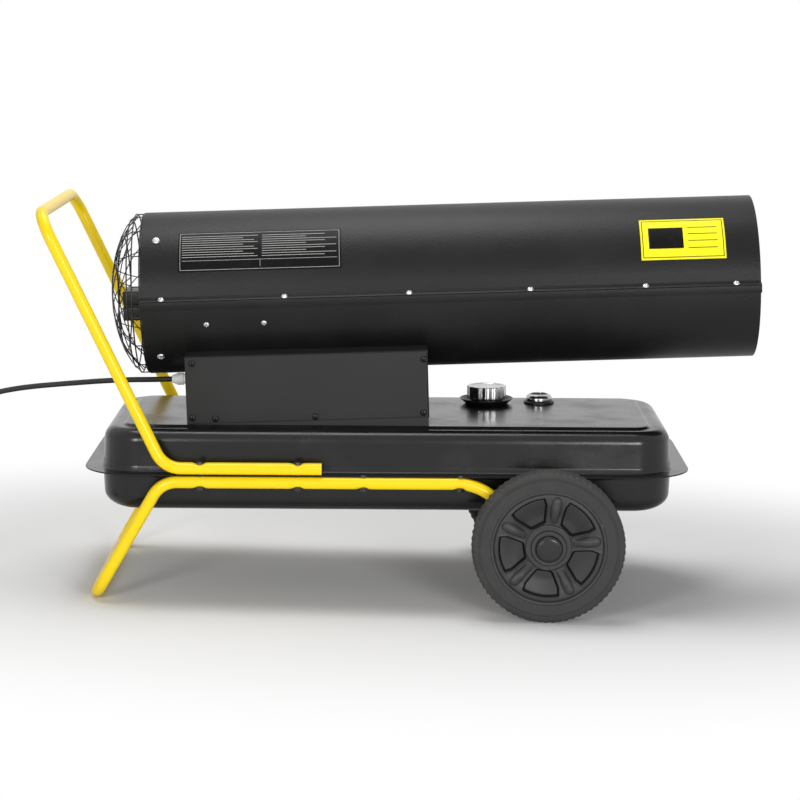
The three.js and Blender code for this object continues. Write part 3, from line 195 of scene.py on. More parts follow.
def skin(points, round_rows=False, round_cols=True, ends=True):
    """A grid of points as faces between its rows and columns; open end rows close in a fan about their middle."""
    rows, cols = points.shape[:2]
    i = np.arange(rows if round_rows else rows - 1)[:, None]
    j = np.arange(cols if round_cols else cols - 1)[None, :]
    down, right = (i + 1) % rows, (j + 1) % cols
    quads = np.stack([i * cols + j, i * cols + right, down * cols + right, down * cols + j], -1).reshape(-1, 4)
    flat = points.reshape(-1, 3)
    faces = [quads]
    if ends and round_cols and not round_rows:
        k, count = np.arange(cols), len(flat)
        flat = np.vstack([flat, points[0].mean(0), points[-1].mean(0)])
        after = (k + 1) % cols
        last = (rows - 1) * cols
        faces.append(np.stack([after, k, np.full(cols, count)], 1))
        faces.append(np.stack([last + k, last + after, np.full(cols, count + 1)], 1))
    return flat, faces


def angles(steps):
    return np.arange(steps) / steps * TURN


def round_grid(r, v, h):
    """Rows of points (r cos v, r sin v, h)."""
    return np.stack([r * np.cos(v), r * np.sin(v), h + 0 * v], -1)


def lathe(profile, steps=64, ended=True):
    """Profile points (r, h) turned about the third axis."""
    r, h = np.asarray(profile, float).T[..., None]
    return skin(round_grid(r, angles(steps), h), round_rows=not ended, ends=ended)


def swept(section, path, up, closed=False):
    """A closed section carried along a path, square to it: p + a side + b top, with top nearest to up."""
    path = np.asarray(path, float)
    if closed:
        heading = unit(np.roll(path, -1, 0) - np.roll(path, 1, 0))
    else:
        steps = unit(np.diff(path, axis=0))
        heading = unit(np.vstack([steps[:1], steps[1:] + steps[:-1], steps[-1:]]))
    side = unit(np.cross(heading, np.broadcast_to(up, heading.shape)))
    top = np.cross(side, heading)
    a, b = section[..., 0], section[..., 1]
    if section.ndim == 2:
        a, b = a[None], b[None]
    grid = path[:, None] + a[..., None] * side[:, None] + b[..., None] * top[:, None]
    return skin(grid, round_rows=closed, ends=not closed)


def sheet(path, thick, starts, stops):
    """A folded sheet: a line (y, n) made thick to both sides with round edges, from starts to stops along."""
    half = thick / 2
    soft = np.array([0.35, 0.72, 0.93, 1.0])
    out = np.array([0.0, 0.13, 0.4, 1.0]) * half

    def loop(share):
        left, right = beside(path, half * share), beside(path, -half * share)
        head = unit(path[:1] - path[1:2]) * half * 0.8
        tail = unit(path[-1:] - path[-2:-1]) * half * 0.8
        nose = np.vstack([(left[:1] * 3 + right[:1]) / 4, (left[:1] + right[:1] * 3) / 4]) + head
        back = np.vstack([(right[-1:] * 3 + left[-1:]) / 4, (right[-1:] + left[-1:] * 3) / 4]) + tail
        return np.vstack([left, back[::-1], right[::-1], nose[::-1]])

    rows = [loop(s) for s in soft] + [loop(s) for s in soft[::-1]]
    places = np.concatenate([starts + out, stops - out[::-1]])
    grid = np.stack([np.column_stack([np.full(len(r), s), r]) for s, r in zip(places, rows)])
    count, cols = len(path), grid.shape[1]
    flat, faces = skin(grid, ends=False)
    # both cut ends are strips between the two sides of the line, with its round edges in a fan
    k = np.arange(count - 1)
    far = cols - 3 - k
    strip = np.stack([k, k + 1, far - 1, far], 1)
    tips = np.array([[count - 1, count, count + 1, count + 2], [0, cols - 3, cols - 2, cols - 1]])
    cap = np.vstack([strip, tips])
    faces += [cap, cap[:, ::-1] + (len(rows) - 1) * cols]
    return flat, faces


def plate(loops, thick, edge=0.3):
    """A flat plate cut to outlines, the outer one first and holes after it: each is carried through levels that
    stand in by the rounding e at both faces, and flat faces close it. Local points are (u, v, w)."""
    half = thick / 2
    levels = ((-half, edge), (-half + 0.3 * edge, 0.3 * edge), (-half + edge, 0.0),
              (half - edge, 0.0), (half - 0.3 * edge, 0.3 * edge), (half, edge))
    points, faces, rims, base = [], [], [], 0
    for k, outline in enumerate(loops):
        x, y = outline.T
        area = np.sum(x * np.roll(y, -1) - np.roll(x, -1) * y)
        outline = outline if (area > 0) == (k == 0) else outline[::-1]
        grid = np.stack([np.column_stack([beside(outline, inset, True), np.full(len(outline), w)])
                         for w, inset in levels])
        flat, quads = skin(grid, ends=False)
        points.append(flat)
        faces.append(quads[0] + base)
        rims.append((grid[0], base))
        base += len(flat)
    corners = tessellate_polygon([[Vector(p) for p in rim] for rim, _ in rims])
    index = np.concatenate([start + np.arange(len(rim)) for rim, start in rims])
    lift = np.concatenate([np.full(len(rim), (len(levels) - 1) * len(rim)) for rim, _ in rims])
    corners = np.array(corners)
    faces += [index[corners], (index + lift)[corners][:, ::-1]]
    return np.vstack(points), faces


def moved(made, how):
    """A skin with its points passed through a function of the whole array."""
    return how(made[0]), made[1]


def many(made, places):
    """The same skin once for each place, a function of its points."""
    return [moved(made, how) for how in places]


def aim(axis, at=(0, 0, 0), flip=1, spin=0):
    """Lays a skin made about its third axis along another one, with its foot at a point."""
    c, s = math.cos(math.radians(spin)), math.sin(math.radians(spin))

    def how(p):
        a, b, h = p[:, 0] * c - p[:, 1] * s, p[:, 0] * s + p[:, 1] * c, p[:, 2] * flip
        order = {"x": (h, a, b), "y": (a, h, b), "z": (a, b, h)}[axis]
        return np.stack(order, 1) + np.asarray(at, float)
    return how


def facing(at, normal):
    """Stands a skin made about its third axis on a point, square to a normal in the plane across the barrel."""
    n = unit(np.asarray(normal, float))
    side = unit(np.cross((1.0, 0.0, 0.0) if abs(n[0]) < 0.9 else (0.0, 1.0, 0.0), n))
    other = np.cross(n, side)
    return lambda p: np.asarray(at, float) + p[:, :1] * other + p[:, 1:2] * side + p[:, 2:] * n

def about_axis(s, r, t):
    """Points at s along the barrel's axis, at the radius r and the angle t round it."""
    return np.stack(np.broadcast_arrays(s, r * np.cos(t), r * np.sin(t)), -1)


def spindle(points, radii, steps, sides, axis="x", at=(0, 0, 0), hollow=False):
    """An outline of (r, h) points with rounded corners, turned about an axis; a hollow one closes on itself."""
    outline = soften(line(*points), radii, steps, closed=hollow)
    return moved(lathe(outline, sides, not hollow), aim(axis, at))


def slab(box, radius, thick, edge, how, steps=5):
    """A flat block: a rounded box (x0, x1, y0, y1), made thick with rounded edges and laid in place."""
    return moved(plate([rounded_box(*box, radius, steps)], thick, edge), how)


# ---------------------------------------------------------------- shader maths

class Wire:
    """An output socket. Sums and products of it add Math nodes, also with a number on their left."""

    def __init__(self, nodes, socket):
        self.nodes, self.socket = nodes, socket

    def math(self, operation, *values):
        return self.nodes.node("Math", {"operation": operation}, dict(enumerate(values)))

    def __abs__(self):
        return self.math("ABSOLUTE", self)

    def most(self, other):
        return self.math("MAXIMUM", self, other)

    def between(self, low, high, first=0.0, last=1.0):
        """first up to low, last from high on, and a smooth step between them"""
        return self.nodes.node("MapRange", {"interpolation_type": "SMOOTHSTEP"}, {
            "Value": self, "From Min": low, "From Max": high, "To Min": first, "To Max": last})


SIGNS = {"add": "ADD", "sub": "SUBTRACT", "mul": "MULTIPLY", "truediv": "DIVIDE", "pow": "POWER"}
for sign, operation in SIGNS.items():
    setattr(Wire, f"__{sign}__", lambda self, other, word=operation: self.math(word, self, other))
    setattr(Wire, f"__r{sign}__", lambda self, other, word=operation: self.math(word, other, self))


class Nodes:
    """A node tree, emptied, and the methods that fill it."""

    def __init__(self, holder):
        holder.use_nodes = True
        self.tree = holder.node_tree
        self.tree.nodes.clear()

    def plug(self, socket, value):
        if isinstance(value, Wire):
            self.tree.links.new(value.socket, socket)
        else:
            socket.default_value = value

    def node(self, kind, settings=None, sockets=None, out=0):
        """Any node: its settings are set first, then the values or links of its sockets."""
        made = self.tree.nodes.new("ShaderNode" + kind)
        for name, value in (settings or {}).items():
            if name == "stops":
                while len(made.color_ramp.elements) < len(value):
                    made.color_ramp.elements.new(0.5)
                for stop, (place, colour) in zip(made.color_ramp.elements, value):
                    stop.position, stop.color = place, (*colour, 1)
            else:
                setattr(made, name, value)
        by_id = {s.identifier: s for s in made.inputs}
        for name, value in (sockets or {}).items():
            self.plug(made.inputs[name] if name not in by_id else by_id[name], value)
        outs = {s.identifier: s for s in made.outputs}
        return Wire(self, outs[out] if out in outs else made.outputs[out]) if outs else None

    def seen_ray(self):
        """1 for rays that the viewer sees, straight, mirrored or through glass, and 0 for light on the object."""
        kinds = self.node("LightPath").socket.node.outputs
        camera, glossy, clear = (Wire(self, kinds[f"Is {kind} Ray"])
                                 for kind in ("Camera", "Glossy", "Transmission"))
        return camera.most(glossy).most(clear)


class Finish(Nodes):
    """A material for one slot: a Principled shader, and the nodes that its makers wire to it."""

    def __init__(self, name, slot, colour, roughness, metallic=0.0, specular=0.5):
        self.material = bpy.data.materials.new(name)
        super().__init__(self.material)
        self.slot = slot
        self.height = None
        self.shader = self.tree.nodes.new("ShaderNodeBsdfPrincipled")
        self.surface = self.tree.nodes.new("ShaderNodeOutputMaterial").inputs[0]
        self.tree.links.new(self.shader.outputs[0], self.surface)
        self.set(Base_Color=(*colour, 1), Roughness=roughness, Metallic=metallic, Specular_IOR_Level=specular)

    def set(self, **sockets):
        for name, value in sockets.items():
            self.plug(self.shader.inputs[name.replace("_", " ")], value)

    def noise(self, scale, detail=2.0, rough=0.5, stretch=(1, 1, 1)):
        at = self.node("TexCoord", out="Object")
        if stretch != (1, 1, 1):
            at = self.node("Mapping", {}, {"Vector": at, "Scale": stretch})
        return self.node("TexNoise", {}, {"Vector": at, "Scale": scale, "Detail": detail, "Roughness": rough})

    def axes(self):
        split = self.node("SeparateXYZ", {}, {0: self.node("TexCoord", out="Object")})
        return [Wire(self, output) for output in split.socket.node.outputs]

    def mix(self, share, first, second):
        pick = [c if isinstance(c, Wire) else (*c[:3], 1) for c in (first, second)]
        return self.node("Mix", {"data_type": "RGBA"}, {"Factor_Float": share, "A_Color": pick[0],
                                                       "B_Color": pick[1]}, out="Result_Color")

    def bump(self, height, depth, strength=1.0):
        """Relief of a height from 0 to 1, depth metres deep, on top of earlier relief."""
        sockets = {"Height": height, "Distance": depth, "Strength": strength}
        if self.height is not None:
            sockets["Normal"] = self.height
        self.height = self.node("Bump", {}, sockets)
        self.set(Normal=self.height)


def lin(text):
    """A colour written as rrggbb, in linear light."""
    values = [int(text[i:i + 2], 16) / 255 for i in (0, 2, 4)]
    return tuple(v / 12.92 if v <= 0.04045 else ((v + 0.055) / 1.055) ** 2.4 for v in values)


def powder_coat(name, slot, colour, roughness, specular, grain, depth, dust):
    """Baked powder paint: a fine pebbled relief, a little dust, fine bright specks that are painted glints, and
    gloss that varies slowly.
    """
    f = Finish(name, slot, colour, roughness, specular=specular)
    pebbles = f.noise(grain, 3, 0.6)
    f.bump(pebbles, depth)
    broad = f.noise(7, 3, 0.55)
    # painted highlight: fine bright specks stand in for glints on the coat; the dust share sets their strength as
    # well as that of the broad dusty patches
    glint_specks = f.noise(900, 1, 0.5).between(0.60, 0.78)
    lighter = tuple(c * 2.2 + 0.010 for c in colour)
    f.set(Base_Color=f.mix(broad.between(0.35, 0.75) * dust + glint_specks * (dust * 0.8), colour, lighter))
    f.set(Roughness=broad * 0.14 + pebbles * 0.10 + (roughness - 0.12))
    return f


def smooth_paint(name, slot, colour, roughness, specular):
    """Sprayed paint on pressed steel: shallow orange peel, broad waves of the pressing, rubbed patches."""
    f = Finish(name, slot, colour, roughness, specular=specular)
    f.bump(f.noise(18, 2, 0.5), 0.0009, 0.35)
    f.bump(f.noise(260, 2, 0.5), 0.00006)
    rubbed = f.noise(11, 4, 0.6).between(0.45, 0.75)
    fine = f.noise(60, 5, 0.7, stretch=(1, 4, 4))
    lighter = tuple(c * 1.6 + 0.004 for c in colour)
    f.set(Base_Color=f.mix(rubbed * fine * 0.6, colour, lighter))
    f.set(Roughness=rubbed * 0.10 + fine * 0.08 + (roughness - 0.08))
    return f


def cart_paint():
    """Glossy yellow on bent tube, scuffed where the bar meets the ground."""
    colour = lin("ffdb06")
    f = Finish("cart_yellow", "frame_paint", colour, 0.28, specular=0.26)
    f.set(Coat_Weight=0.18, Coat_Roughness=0.08)
    f.bump(f.noise(140, 2, 0.5), 0.00003, 0.6)
    height = f.axes()[2]
    low = 1 - height.between(0.002, 0.012)
    scuff = low * f.noise(160, 4, 0.7).between(0.42, 0.6)
    grime = f.noise(24, 4, 0.6).between(0.5, 0.8) * 0.06
    shade = f.mix(grime, colour, lin("d8a808"))
    f.set(Base_Color=f.mix(scuff * 0.75, shade, lin("8a8578")))
    f.set(Roughness=scuff * 0.3 + grime + 0.30)
    return f


def moulded(name, slot, colour, roughness, grain=700, depth=0.00005, specular=0.4):
    """Moulded plastic: a fine spark-eroded grain and a faint bloom."""
    f = Finish(name, slot, colour, roughness, specular=specular)
    grains = f.noise(grain, 3, 0.6)
    f.bump(grains, depth)
    bloom = f.noise(16, 3, 0.6).between(0.45, 0.8)
    f.set(Base_Color=f.mix(bloom * 0.35, colour, tuple(c * 1.5 + 0.004 for c in colour)))
    f.set(Roughness=grains * 0.12 + bloom * 0.06 + (roughness - 0.07))
    return f


def wheel_plastic():
    """Moulded wheel: the sunk windows are painted darker than the faces that stand out, as painted shade, and
    scuffs lighten it here and there.
    """
    f = moulded("wheel_plastic", "wheel_plastic", lin("343434"), 0.44, specular=0.30)
    raised_vs_window_shade = abs(f.axes()[1]).between(0.2585, 0.270)
    scuffs = f.noise(30, 4, 0.65).between(0.35, 0.8)
    # painted shade: 252525 in the sunk windows and 3c3c3c on the upstanding faces; the scuff noise is wear
    f.set(Base_Color=f.mix(raised_vs_window_shade * 0.75 + scuffs * 0.25, lin("252525"), lin("3c3c3c")))
    return f


def tyre_rubber():
    """Grained rubber: dusty all over, and dustier on the tread, which lies outermost from the axle."""
    f = Finish("tyre_rubber", "tyre_rubber", lin("343434"), 0.66, specular=0.25)
    grains = f.noise(380, 4, 0.65)
    f.bump(grains, 0.00010)
    dust = f.noise(26, 5, 0.7).between(0.4, 0.75)
    x, _, z = f.axes()
    from_hub = ((x - WHEEL[0] / 1000) ** 2 + (z - WHEEL[2] / 1000) ** 2) ** 0.5
    tread = from_hub.between(0.117, 0.1235)
    shade = f.mix(dust * 0.4, lin("373737"), lin("4b4a48"))
    f.set(Base_Color=f.mix(tread * (0.25 + dust * 0.5), shade, lin("4a4844")))
    f.set(Roughness=0.62 + grains * 0.12 + dust * 0.1)
    return f


def plated(name, slot, colour, roughness, scale, spread, streaks=(1, 1, 1)):
    """Plated or machined metal: fine streaks in the gloss and slight clouding in the colour."""
    f = Finish(name, slot, colour, roughness, metallic=1.0)
    streak = f.noise(scale, 4, 0.6, stretch=streaks)
    cloud = f.noise(scale / 6, 2, 0.5)
    f.set(Base_Color=f.mix(cloud.between(0.35, 0.7) * 0.5, colour, tuple(c * 0.82 for c in colour)))
    f.set(Roughness=streak * spread + (roughness - spread / 2))
    f.bump(streak, 0.00002, 0.6)
    return f


def heated_steel():
    """Bare steel that has been hot: straw, brown and blue bands that spread along the burner."""
    f = Finish("heated_steel", "heat_steel", lin("8d8273"), 0.46, metallic=1.0)
    x = f.axes()[0]
    cloud = f.noise(14, 4, 0.6)
    warmth = (x * 2.2 + cloud * 0.9 + 0.1).between(0.2, 1.1)
    tint = f.node("ValToRGB", {"stops": [(0.0, lin("8f8b84")), (0.35, lin("9a8460")), (0.6, lin("6e5340")),
                                         (0.8, lin("4d4f63")), (1.0, lin("6b6660"))]}, {"Fac": warmth})
    soot = f.noise(30, 4, 0.65).between(0.55, 0.8)
    f.set(Base_Color=f.mix(soot * 0.5, tint, lin("2e2a27")))
    f.set(Roughness=0.36 + cloud * 0.18 + soot * 0.2)
    f.bump(f.noise(240, 3, 0.6), 0.00006)
    return f


def clear_window():
    """A clear pane, a little hazed by wiping."""
    f = Finish("gauge_glass", "window", lin("f4f7f7"), 0.04)
    f.set(Alpha=0.22)
    f.bump(f.noise(60, 2, 0.5), 0.00003)
    f.set(Roughness=f.noise(45, 4, 0.7).between(0.45, 0.8, 0.03, 0.12))
    return f


def label_ground(name, slot, colour, roughness):
    """Printed film: flat colour under a thin satin lacquer with faint handling marks."""
    f = Finish(name, slot, colour, roughness, specular=0.1)
    marks = f.noise(40, 4, 0.65).between(0.5, 0.75)
    f.set(Base_Color=f.mix(marks * 0.25, colour, tuple(c * 0.8 + 0.012 for c in colour)))
    f.set(Roughness=marks * 0.12 + (roughness - 0.04))
    f.bump(f.noise(320, 2, 0.5), 0.00002)
    return f


BARREL_PAINT = powder_coat("barrel_powder", "barrel_paint", lin("131313"), 0.42, 0.20, 330, 0.0005, 0.25)
TANK_PAINT = smooth_paint("tank_satin", "tank_paint", lin("121212"), 0.25, 0.36)
BOX_PAINT = powder_coat("box_matte", "box_paint", lin("242424"), 0.58, 0.24, 650, 0.00006, 0.15)
CART_PAINT = cart_paint()
WHEEL_PLASTIC = wheel_plastic()
BLACK_PLASTIC = moulded("black_plastic", "black_plastic", lin("151515"), 0.36, specular=0.35)
HUB_PLASTIC = moulded("hub_gloss", "black_plastic", lin("161616"), 0.20, specular=0.5)
TYRE = tyre_rubber()
WIRE_BLACK = smooth_paint("guard_wire", "guard_wire", lin("121212"), 0.34, 0.35)
CHROME = plated("chrome", "chrome", lin("b8b8b8"), 0.22, 90, 0.08)
ZINC = plated("bright_zinc", "zinc", lin("c4c6c8"), 0.30, 200, 0.12)
DARK_ZINC = plated("dark_zinc", "dark_zinc", lin("4a4a4a"), 0.40, 200, 0.14)
STEEL = plated("turned_steel", "steel", lin("a2a3a5"), 0.32, 160, 0.16, (1, 12, 12))
ALUMINIUM = plated("cast_aluminium", "aluminium", lin("b3b5b8"), 0.44, 240, 0.16)
BRASS = plated("brass", "brass", lin("b89a4e"), 0.30, 180, 0.12)
HEATED = heated_steel()
CERAMIC = moulded("spark_ceramic", "ceramic", lin("eae6dc"), 0.22, 200, 0.00002)
GLASS = clear_window()
RED = moulded("red_plastic", "red", lin("b3221a"), 0.32, 500, 0.00003)
GREY_PLASTIC = moulded("grey_nylon", "light_grey_plastic", lin("f4f4f2"), 0.46, 500, 0.00004)
WHITE_PLASTIC = moulded("dial_white", "light_grey_plastic", lin("e6e6e2"), 0.40, 500, 0.00002)
DARK_SCREW = plated("black_oxide", "black_plastic", lin("303030"), 0.30, 200, 0.12)
BOARD = moulded("board_green", "board", lin("2c6338"), 0.36, 260, 0.00004)
CORD = moulded("cord_rubber", "rubber", lin("1c1c1c"), 0.58, 900, 0.00006, 0.35)
BLACK_FILM = label_ground("label_black", "black_plastic", lin("0c0c0c"), 0.42)
YELLOW_FILM = label_ground("label_yellow", "frame_paint", lin("fff22e"), 0.36)
GREY_PRINT = label_ground("label_print", "light_grey_plastic", lin("a8a8a6"), 0.45)


# ---------------------------------------------------------------- pieces

def piece(name, skins, place, finish, body="heater", stands_for=(), sharp=32):
    """One mesh from skins: shared points merged, faces outwards, creases above an angle in degrees kept sharp."""
    points, faces, count = [], [], 0
    for flat, groups in skins:
        points.append(flat)
        faces += [row for group in groups for row in (group + count).tolist()]
        count += len(flat)
    mesh = bpy.data.meshes.new(name)
    mesh.from_pydata(place(np.vstack(points)), [], faces)
    work = bmesh.new()
    work.from_mesh(mesh)
    bmesh.ops.remove_doubles(work, verts=work.verts, dist=2e-6)
    bmesh.ops.dissolve_degenerate(work, edges=work.edges, dist=1e-7)
    bmesh.ops.recalc_face_normals(work, faces=work.faces)
    work.to_mesh(mesh)
    work.free()
    mesh.polygons.foreach_set("use_smooth", np.ones(len(mesh.polygons), bool))
    mesh.set_sharp_from_angle(angle=math.radians(sharp))
    mesh.materials.append(finish.material)
    made = bpy.data.objects.new(name, mesh)
    scene.collection.objects.link(made)
    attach(made, body)
    if stands_for:
        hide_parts(*stands_for)
    return made


# ---------------------------------------------------------------- power cord

CORD_ROUTE = line(
    (-412, -70, 350.6), (-442, -70, 349.4), (-472, -70.5, 347.8), (-505, -71.5, 345.2), (-540, -73, 341.8),
    (-575, -74.5, 338.2), (-610, -76, 334.2), (-645, -78, 328.8), (-676, -80, 321.5), (-703, -82, 310),
    (-725, -84, 293), (-741, -86, 270), (-751, -88, 243), (-757, -90, 213), (-761, -92, 182), (-764, -94, 150),
    (-767, -96, 118), (-771, -98, 88), (-778, -100, 60), (-789, -102.5, 35), (-804, -105, 16.5),
    (-822, -107, 7.2), (-838, -108, 4.6),
)


def coil_route():
    """The flat coil: from a radius of 57 it winds in by 9.7 a turn, and out again one layer up."""
    done = np.linspace(0, 2.5, 61)
    radius = 57 - 9.7 * np.minimum(done, 2.5 - done)
    angle = math.pi / 2 + done * TURN
    height = 4.6 + 9.7 * step_up(done, 1.0, 1.5)
    coil = np.stack([-860 + radius * np.cos(angle), -165 + radius * np.sin(angle), height], 1)
    return np.vstack([coil[:1] + (9, 0, 0), coil, coil[-1:] + (9, 0, 0)])


def power_cord():
    leaving = [BARREL.at(BOX_LEFT - out, GLAND_Y, GLAND_N) for out in (28.8, 40.5)]
    coil = coil_route()
    path = through(np.vstack([leaving, CORD_ROUTE, coil]), 4)
    cord = piece("power_cord_run", [swept(ring(4.5, 16), path, (0.02, 1, 0.3))], FLOOR, CORD,
                 stands_for=("power_cord", "power_cord_coil"))
    at = coil[-1]
    body = soften(line((0, 0.3), (6.5, 0.3), (8, 14), (11, 18), (14, 24), (14, 44), (0, 44)),
                  (0, 1.5, 3, 3, 4, 3.5, 0), 4)
    grip = [lathe(ring(0.9, 8) + (13.3, h), 40, False) for h in (27, 31, 35, 39)]
    plug = piece("plug_body", [moved(part, aim("x", at)) for part in [lathe(body, 40), *grip]], FLOOR, CORD,
                 stands_for=("cord_plug",))
    pins = [spindle(((0, 43), (2.4, 43), (2.4, 63), (0, 63)), (0, 0, 1.6, 0), 4, 20, "x", at + (0, 0, y))
            for y in (-9.5, 9.5)]
    bars = piece("plug_pins", pins, FLOOR, STEEL)


power_cord()


def cord_gland():
    """A ribbed dome nut with a tapered nose, a hexagon behind it and its locknut inside the box."""
    s = BOX_LEFT
    nose = soften(line((4.7, s - 28.5), (6.2, s - 28.5), (8.6, s - 22), (10.2, s - 19), (10.2, s - 9),
                       (8.5, s - 8.6), (8.5, s - 0.3), (7.3, s - 0.3), (7.3, s + 12), (4.7, s + 12)),
                  0.5, 3, closed=True)
    v = angles(96)
    r, h = nose.T[..., None]
    on_nut = step_up(h, s - 20, s - 18) * (1 - step_up(h, s - 10, s - 9)) * (r > 7)
    wide = r * (1 - 0.035 * on_nut * np.clip(np.cos(16 * v), 0, 1) ** 2)
    skins = [moved(skin(round_grid(wide, v, h), round_rows=True), aim("x", (0, GLAND_Y, GLAND_N)))]
    for place, radius, thick in ((s - 3.2, 12, 5.5), (s + 3.8, 12.5, 4.5)):
        hexagon = plate([ring(radius, 6), ring(8.0, 24)], thick, 0.5)
        skins.append(moved(hexagon, aim("x", (place, GLAND_Y, GLAND_N))))
    piece("cord_gland_nut", skins, BARREL, GREY_PLASTIC, stands_for=("cord_gland",))


cord_gland()


# ---------------------------------------------------------------- screws

def pan_head(radius, height):
    """A domed head whose height falls off as (1 - r^2.6)^0.55, with a cross pressed into it."""
    share = np.concatenate([np.linspace(0, 0.86, 13), (0.93, 0.975, 1.0)])[:, None]
    v = angles(40)
    x, y = radius * share * np.cos(v), radius * share * np.sin(v)
    dome = height * np.clip(1 - share ** 2.6, 0, 1) ** 0.55
    wide, reach = radius * 0.13, radius * 0.62
    arm = [np.clip((wide - abs(a)) / (wide * 0.6), 0, 1) * np.clip((reach - abs(b)) / (radius * 0.12), 0, 1)
           for a, b in ((x, y), (y, x))]
    top = np.stack([x, y, dome - height * 0.62 * np.maximum(*arm)], -1)
    return skin(np.vstack([top, [round_grid(radius, v, -0.8)]]))


def shell_at(s, degrees, side):
    """A place on the barrel's skin and its outward normal, by the angle above the horizontal on that side."""
    t = math.radians(degrees)
    n = (0, side * math.cos(t), math.sin(t))
    return (s, BARREL_SKIN * n[1], BARREL_SKIN * n[2]), n


FLANGE_SCREWS = (-476, -273, -68, 131, 320, 469)


def barrel_screws():
    small, large, flange = pan_head(5.0, 2.6), pan_head(6.6, 3.2), pan_head(6.1, 3.4)
    rise, run, seat_y = 3.6, 12, 142.4
    seat_n = 2.85 + rise * (SEAM_EDGE - seat_y) / run
    slope = math.atan2(rise, run)
    for word, side in SIDES:
        normal = (0, side * math.sin(slope), math.cos(slope))
        skins = many(flange, [facing((s, side * seat_y, seat_n), normal) for s in FLANGE_SCREWS])
        skins += many(large, [facing(*shell_at(-484.5, a, side)) for a in (46, -44.5)])
        skins += many(small, [facing(*shell_at(s, -16.9, side)) for s in (-403.8, -308.8)])
        piece(f"barrel_screws_{word}", skins, BARREL, ZINC, sharp=50)


barrel_screws()


# ---------------------------------------------------------------- barrel

def barrel_shells():
    """Each half is a line round the barrel: an arc, in its sheet's middle, that bends out into the flanges."""
    upper = line((SEAM_EDGE - 0.1, 2.25), (BARREL_MIDDLE, 5.98)), arc(BARREL_MIDDLE, 3.2, 176.8, 120)[5:-5]
    lower = line((147.7, -10.9), (147.7, 0.95), (135.75, 4.5)), arc(BARREL_MIDDLE, -1.5, -178.5, 120)
    for word, (flange, arch), bend, steps in (("upper", upper, 4.0, 8), ("lower", lower, 0.9, 6)):
        bends = np.zeros(len(arch) + 2 * len(flange))
        bends[1:len(flange)] = bends[-len(flange):-1] = bend
        path = soften(np.vstack([flange, arch, flange[::-1] * (-1, 1)]), bends, steps)
        piece(f"barrel_{word}_sheet", [sheet(path, 1.0, -BARREL_END, BARREL_END)], BARREL, BARREL_PAINT,
              stands_for=(f"barrel_{word}_shell",))


barrel_shells()


def on_barrel(u, v, w):
    """A flat print wrapped on the barrel: u along it, v degrees above the horizontal, w off its skin."""
    t = np.radians(v)
    radius = BARREL_SKIN + w
    return np.stack([u, -radius * np.cos(t), radius * np.sin(t)], -1)


def label_patch(s0, s1, a0, a1, lift, thick=0.12):
    """A thin film on the barrel between two places along it and two angles, with strips round its edge."""
    u, v = np.meshgrid(np.linspace(s0, s1, 5), np.linspace(a0, a1, 25), indexing="ij")
    top, low = on_barrel(u, v, lift + thick), on_barrel(u, v, lift - 0.05)
    grid = np.concatenate([low[::-1], top])
    flat, faces = skin(grid, round_cols=False)
    return flat, faces + edge_strips(len(grid) // 2, grid.shape[1])


def edge_strips(half, cols):
    """Closes a film between its lower rows, which come reversed, and its upper rows, along three open sides."""
    k = np.arange(half - 1)
    low, top = half - 1 - k, half + k
    strips = []
    for c in (0, cols - 1):
        strips.append(np.stack([low * cols + c, (low - 1) * cols + c, (top + 1) * cols + c, top * cols + c], 1))
    j = np.arange(cols - 1)
    last = 2 * half - 1
    strips.append(np.stack([j, j + 1, last * cols + j + 1, last * cols + j], 1))
    return strips


def frame_lines(s0, s1, a0, a1, wide, lift):
    """Four printed strips round a label's border."""
    tall = math.degrees(wide / BARREL_SKIN)
    sides = ((s0, s1, a0, a0 + tall), (s0, s1, a1 - tall, a1),
             (s0, s0 + wide, a0 + tall, a1 - tall), (s1 - wide, s1, a0 + tall, a1 - tall))
    return [label_patch(*side, lift) for side in sides]


def labels():
    """Both labels carry only plain print: a border, ruled rows, and bare fields."""
    piece("label_black_film", [label_patch(-447.5, -178, 20.4, 52.6, 0.05)], BARREL, BLACK_FILM)
    rows = frame_lines(-444.5, -181, 21.6, 51.4, 0.8, 0.2)
    for k, a in enumerate(np.arange(31, 48.5, 1.9)):
        rows += [label_patch(-441, (-316, -322, -340)[k % 3], a, a + 0.42, 0.2),
                 label_patch(-309, (-205, -186, -236)[k % 3], a, a + 0.42, 0.2)]
    rows += [label_patch(-441, -185, 28.4, 28.7, 0.2), label_patch(-312.2, -311.6, 23.4, 28.4, 0.2)]
    piece("label_black_print", rows, BARREL, GREY_PRINT)
    piece("label_yellow_film", [label_patch(315.5, 455, 19.4, 51.8, 0.05)], BARREL, YELLOW_FILM)
    marks = frame_lines(318.5, 452, 20.9, 50.4, 1.2, 0.2) + [label_patch(329, 386, 27.5, 44, 0.2)]
    marks += [label_patch(394, 442, a, a + 0.5, 0.2) for a in (27.5, 32.9, 38.3, 43.6)]
    piece("label_yellow_print", marks, BARREL, BLACK_FILM)


labels()


# ---------------------------------------------------------------- inlet guard

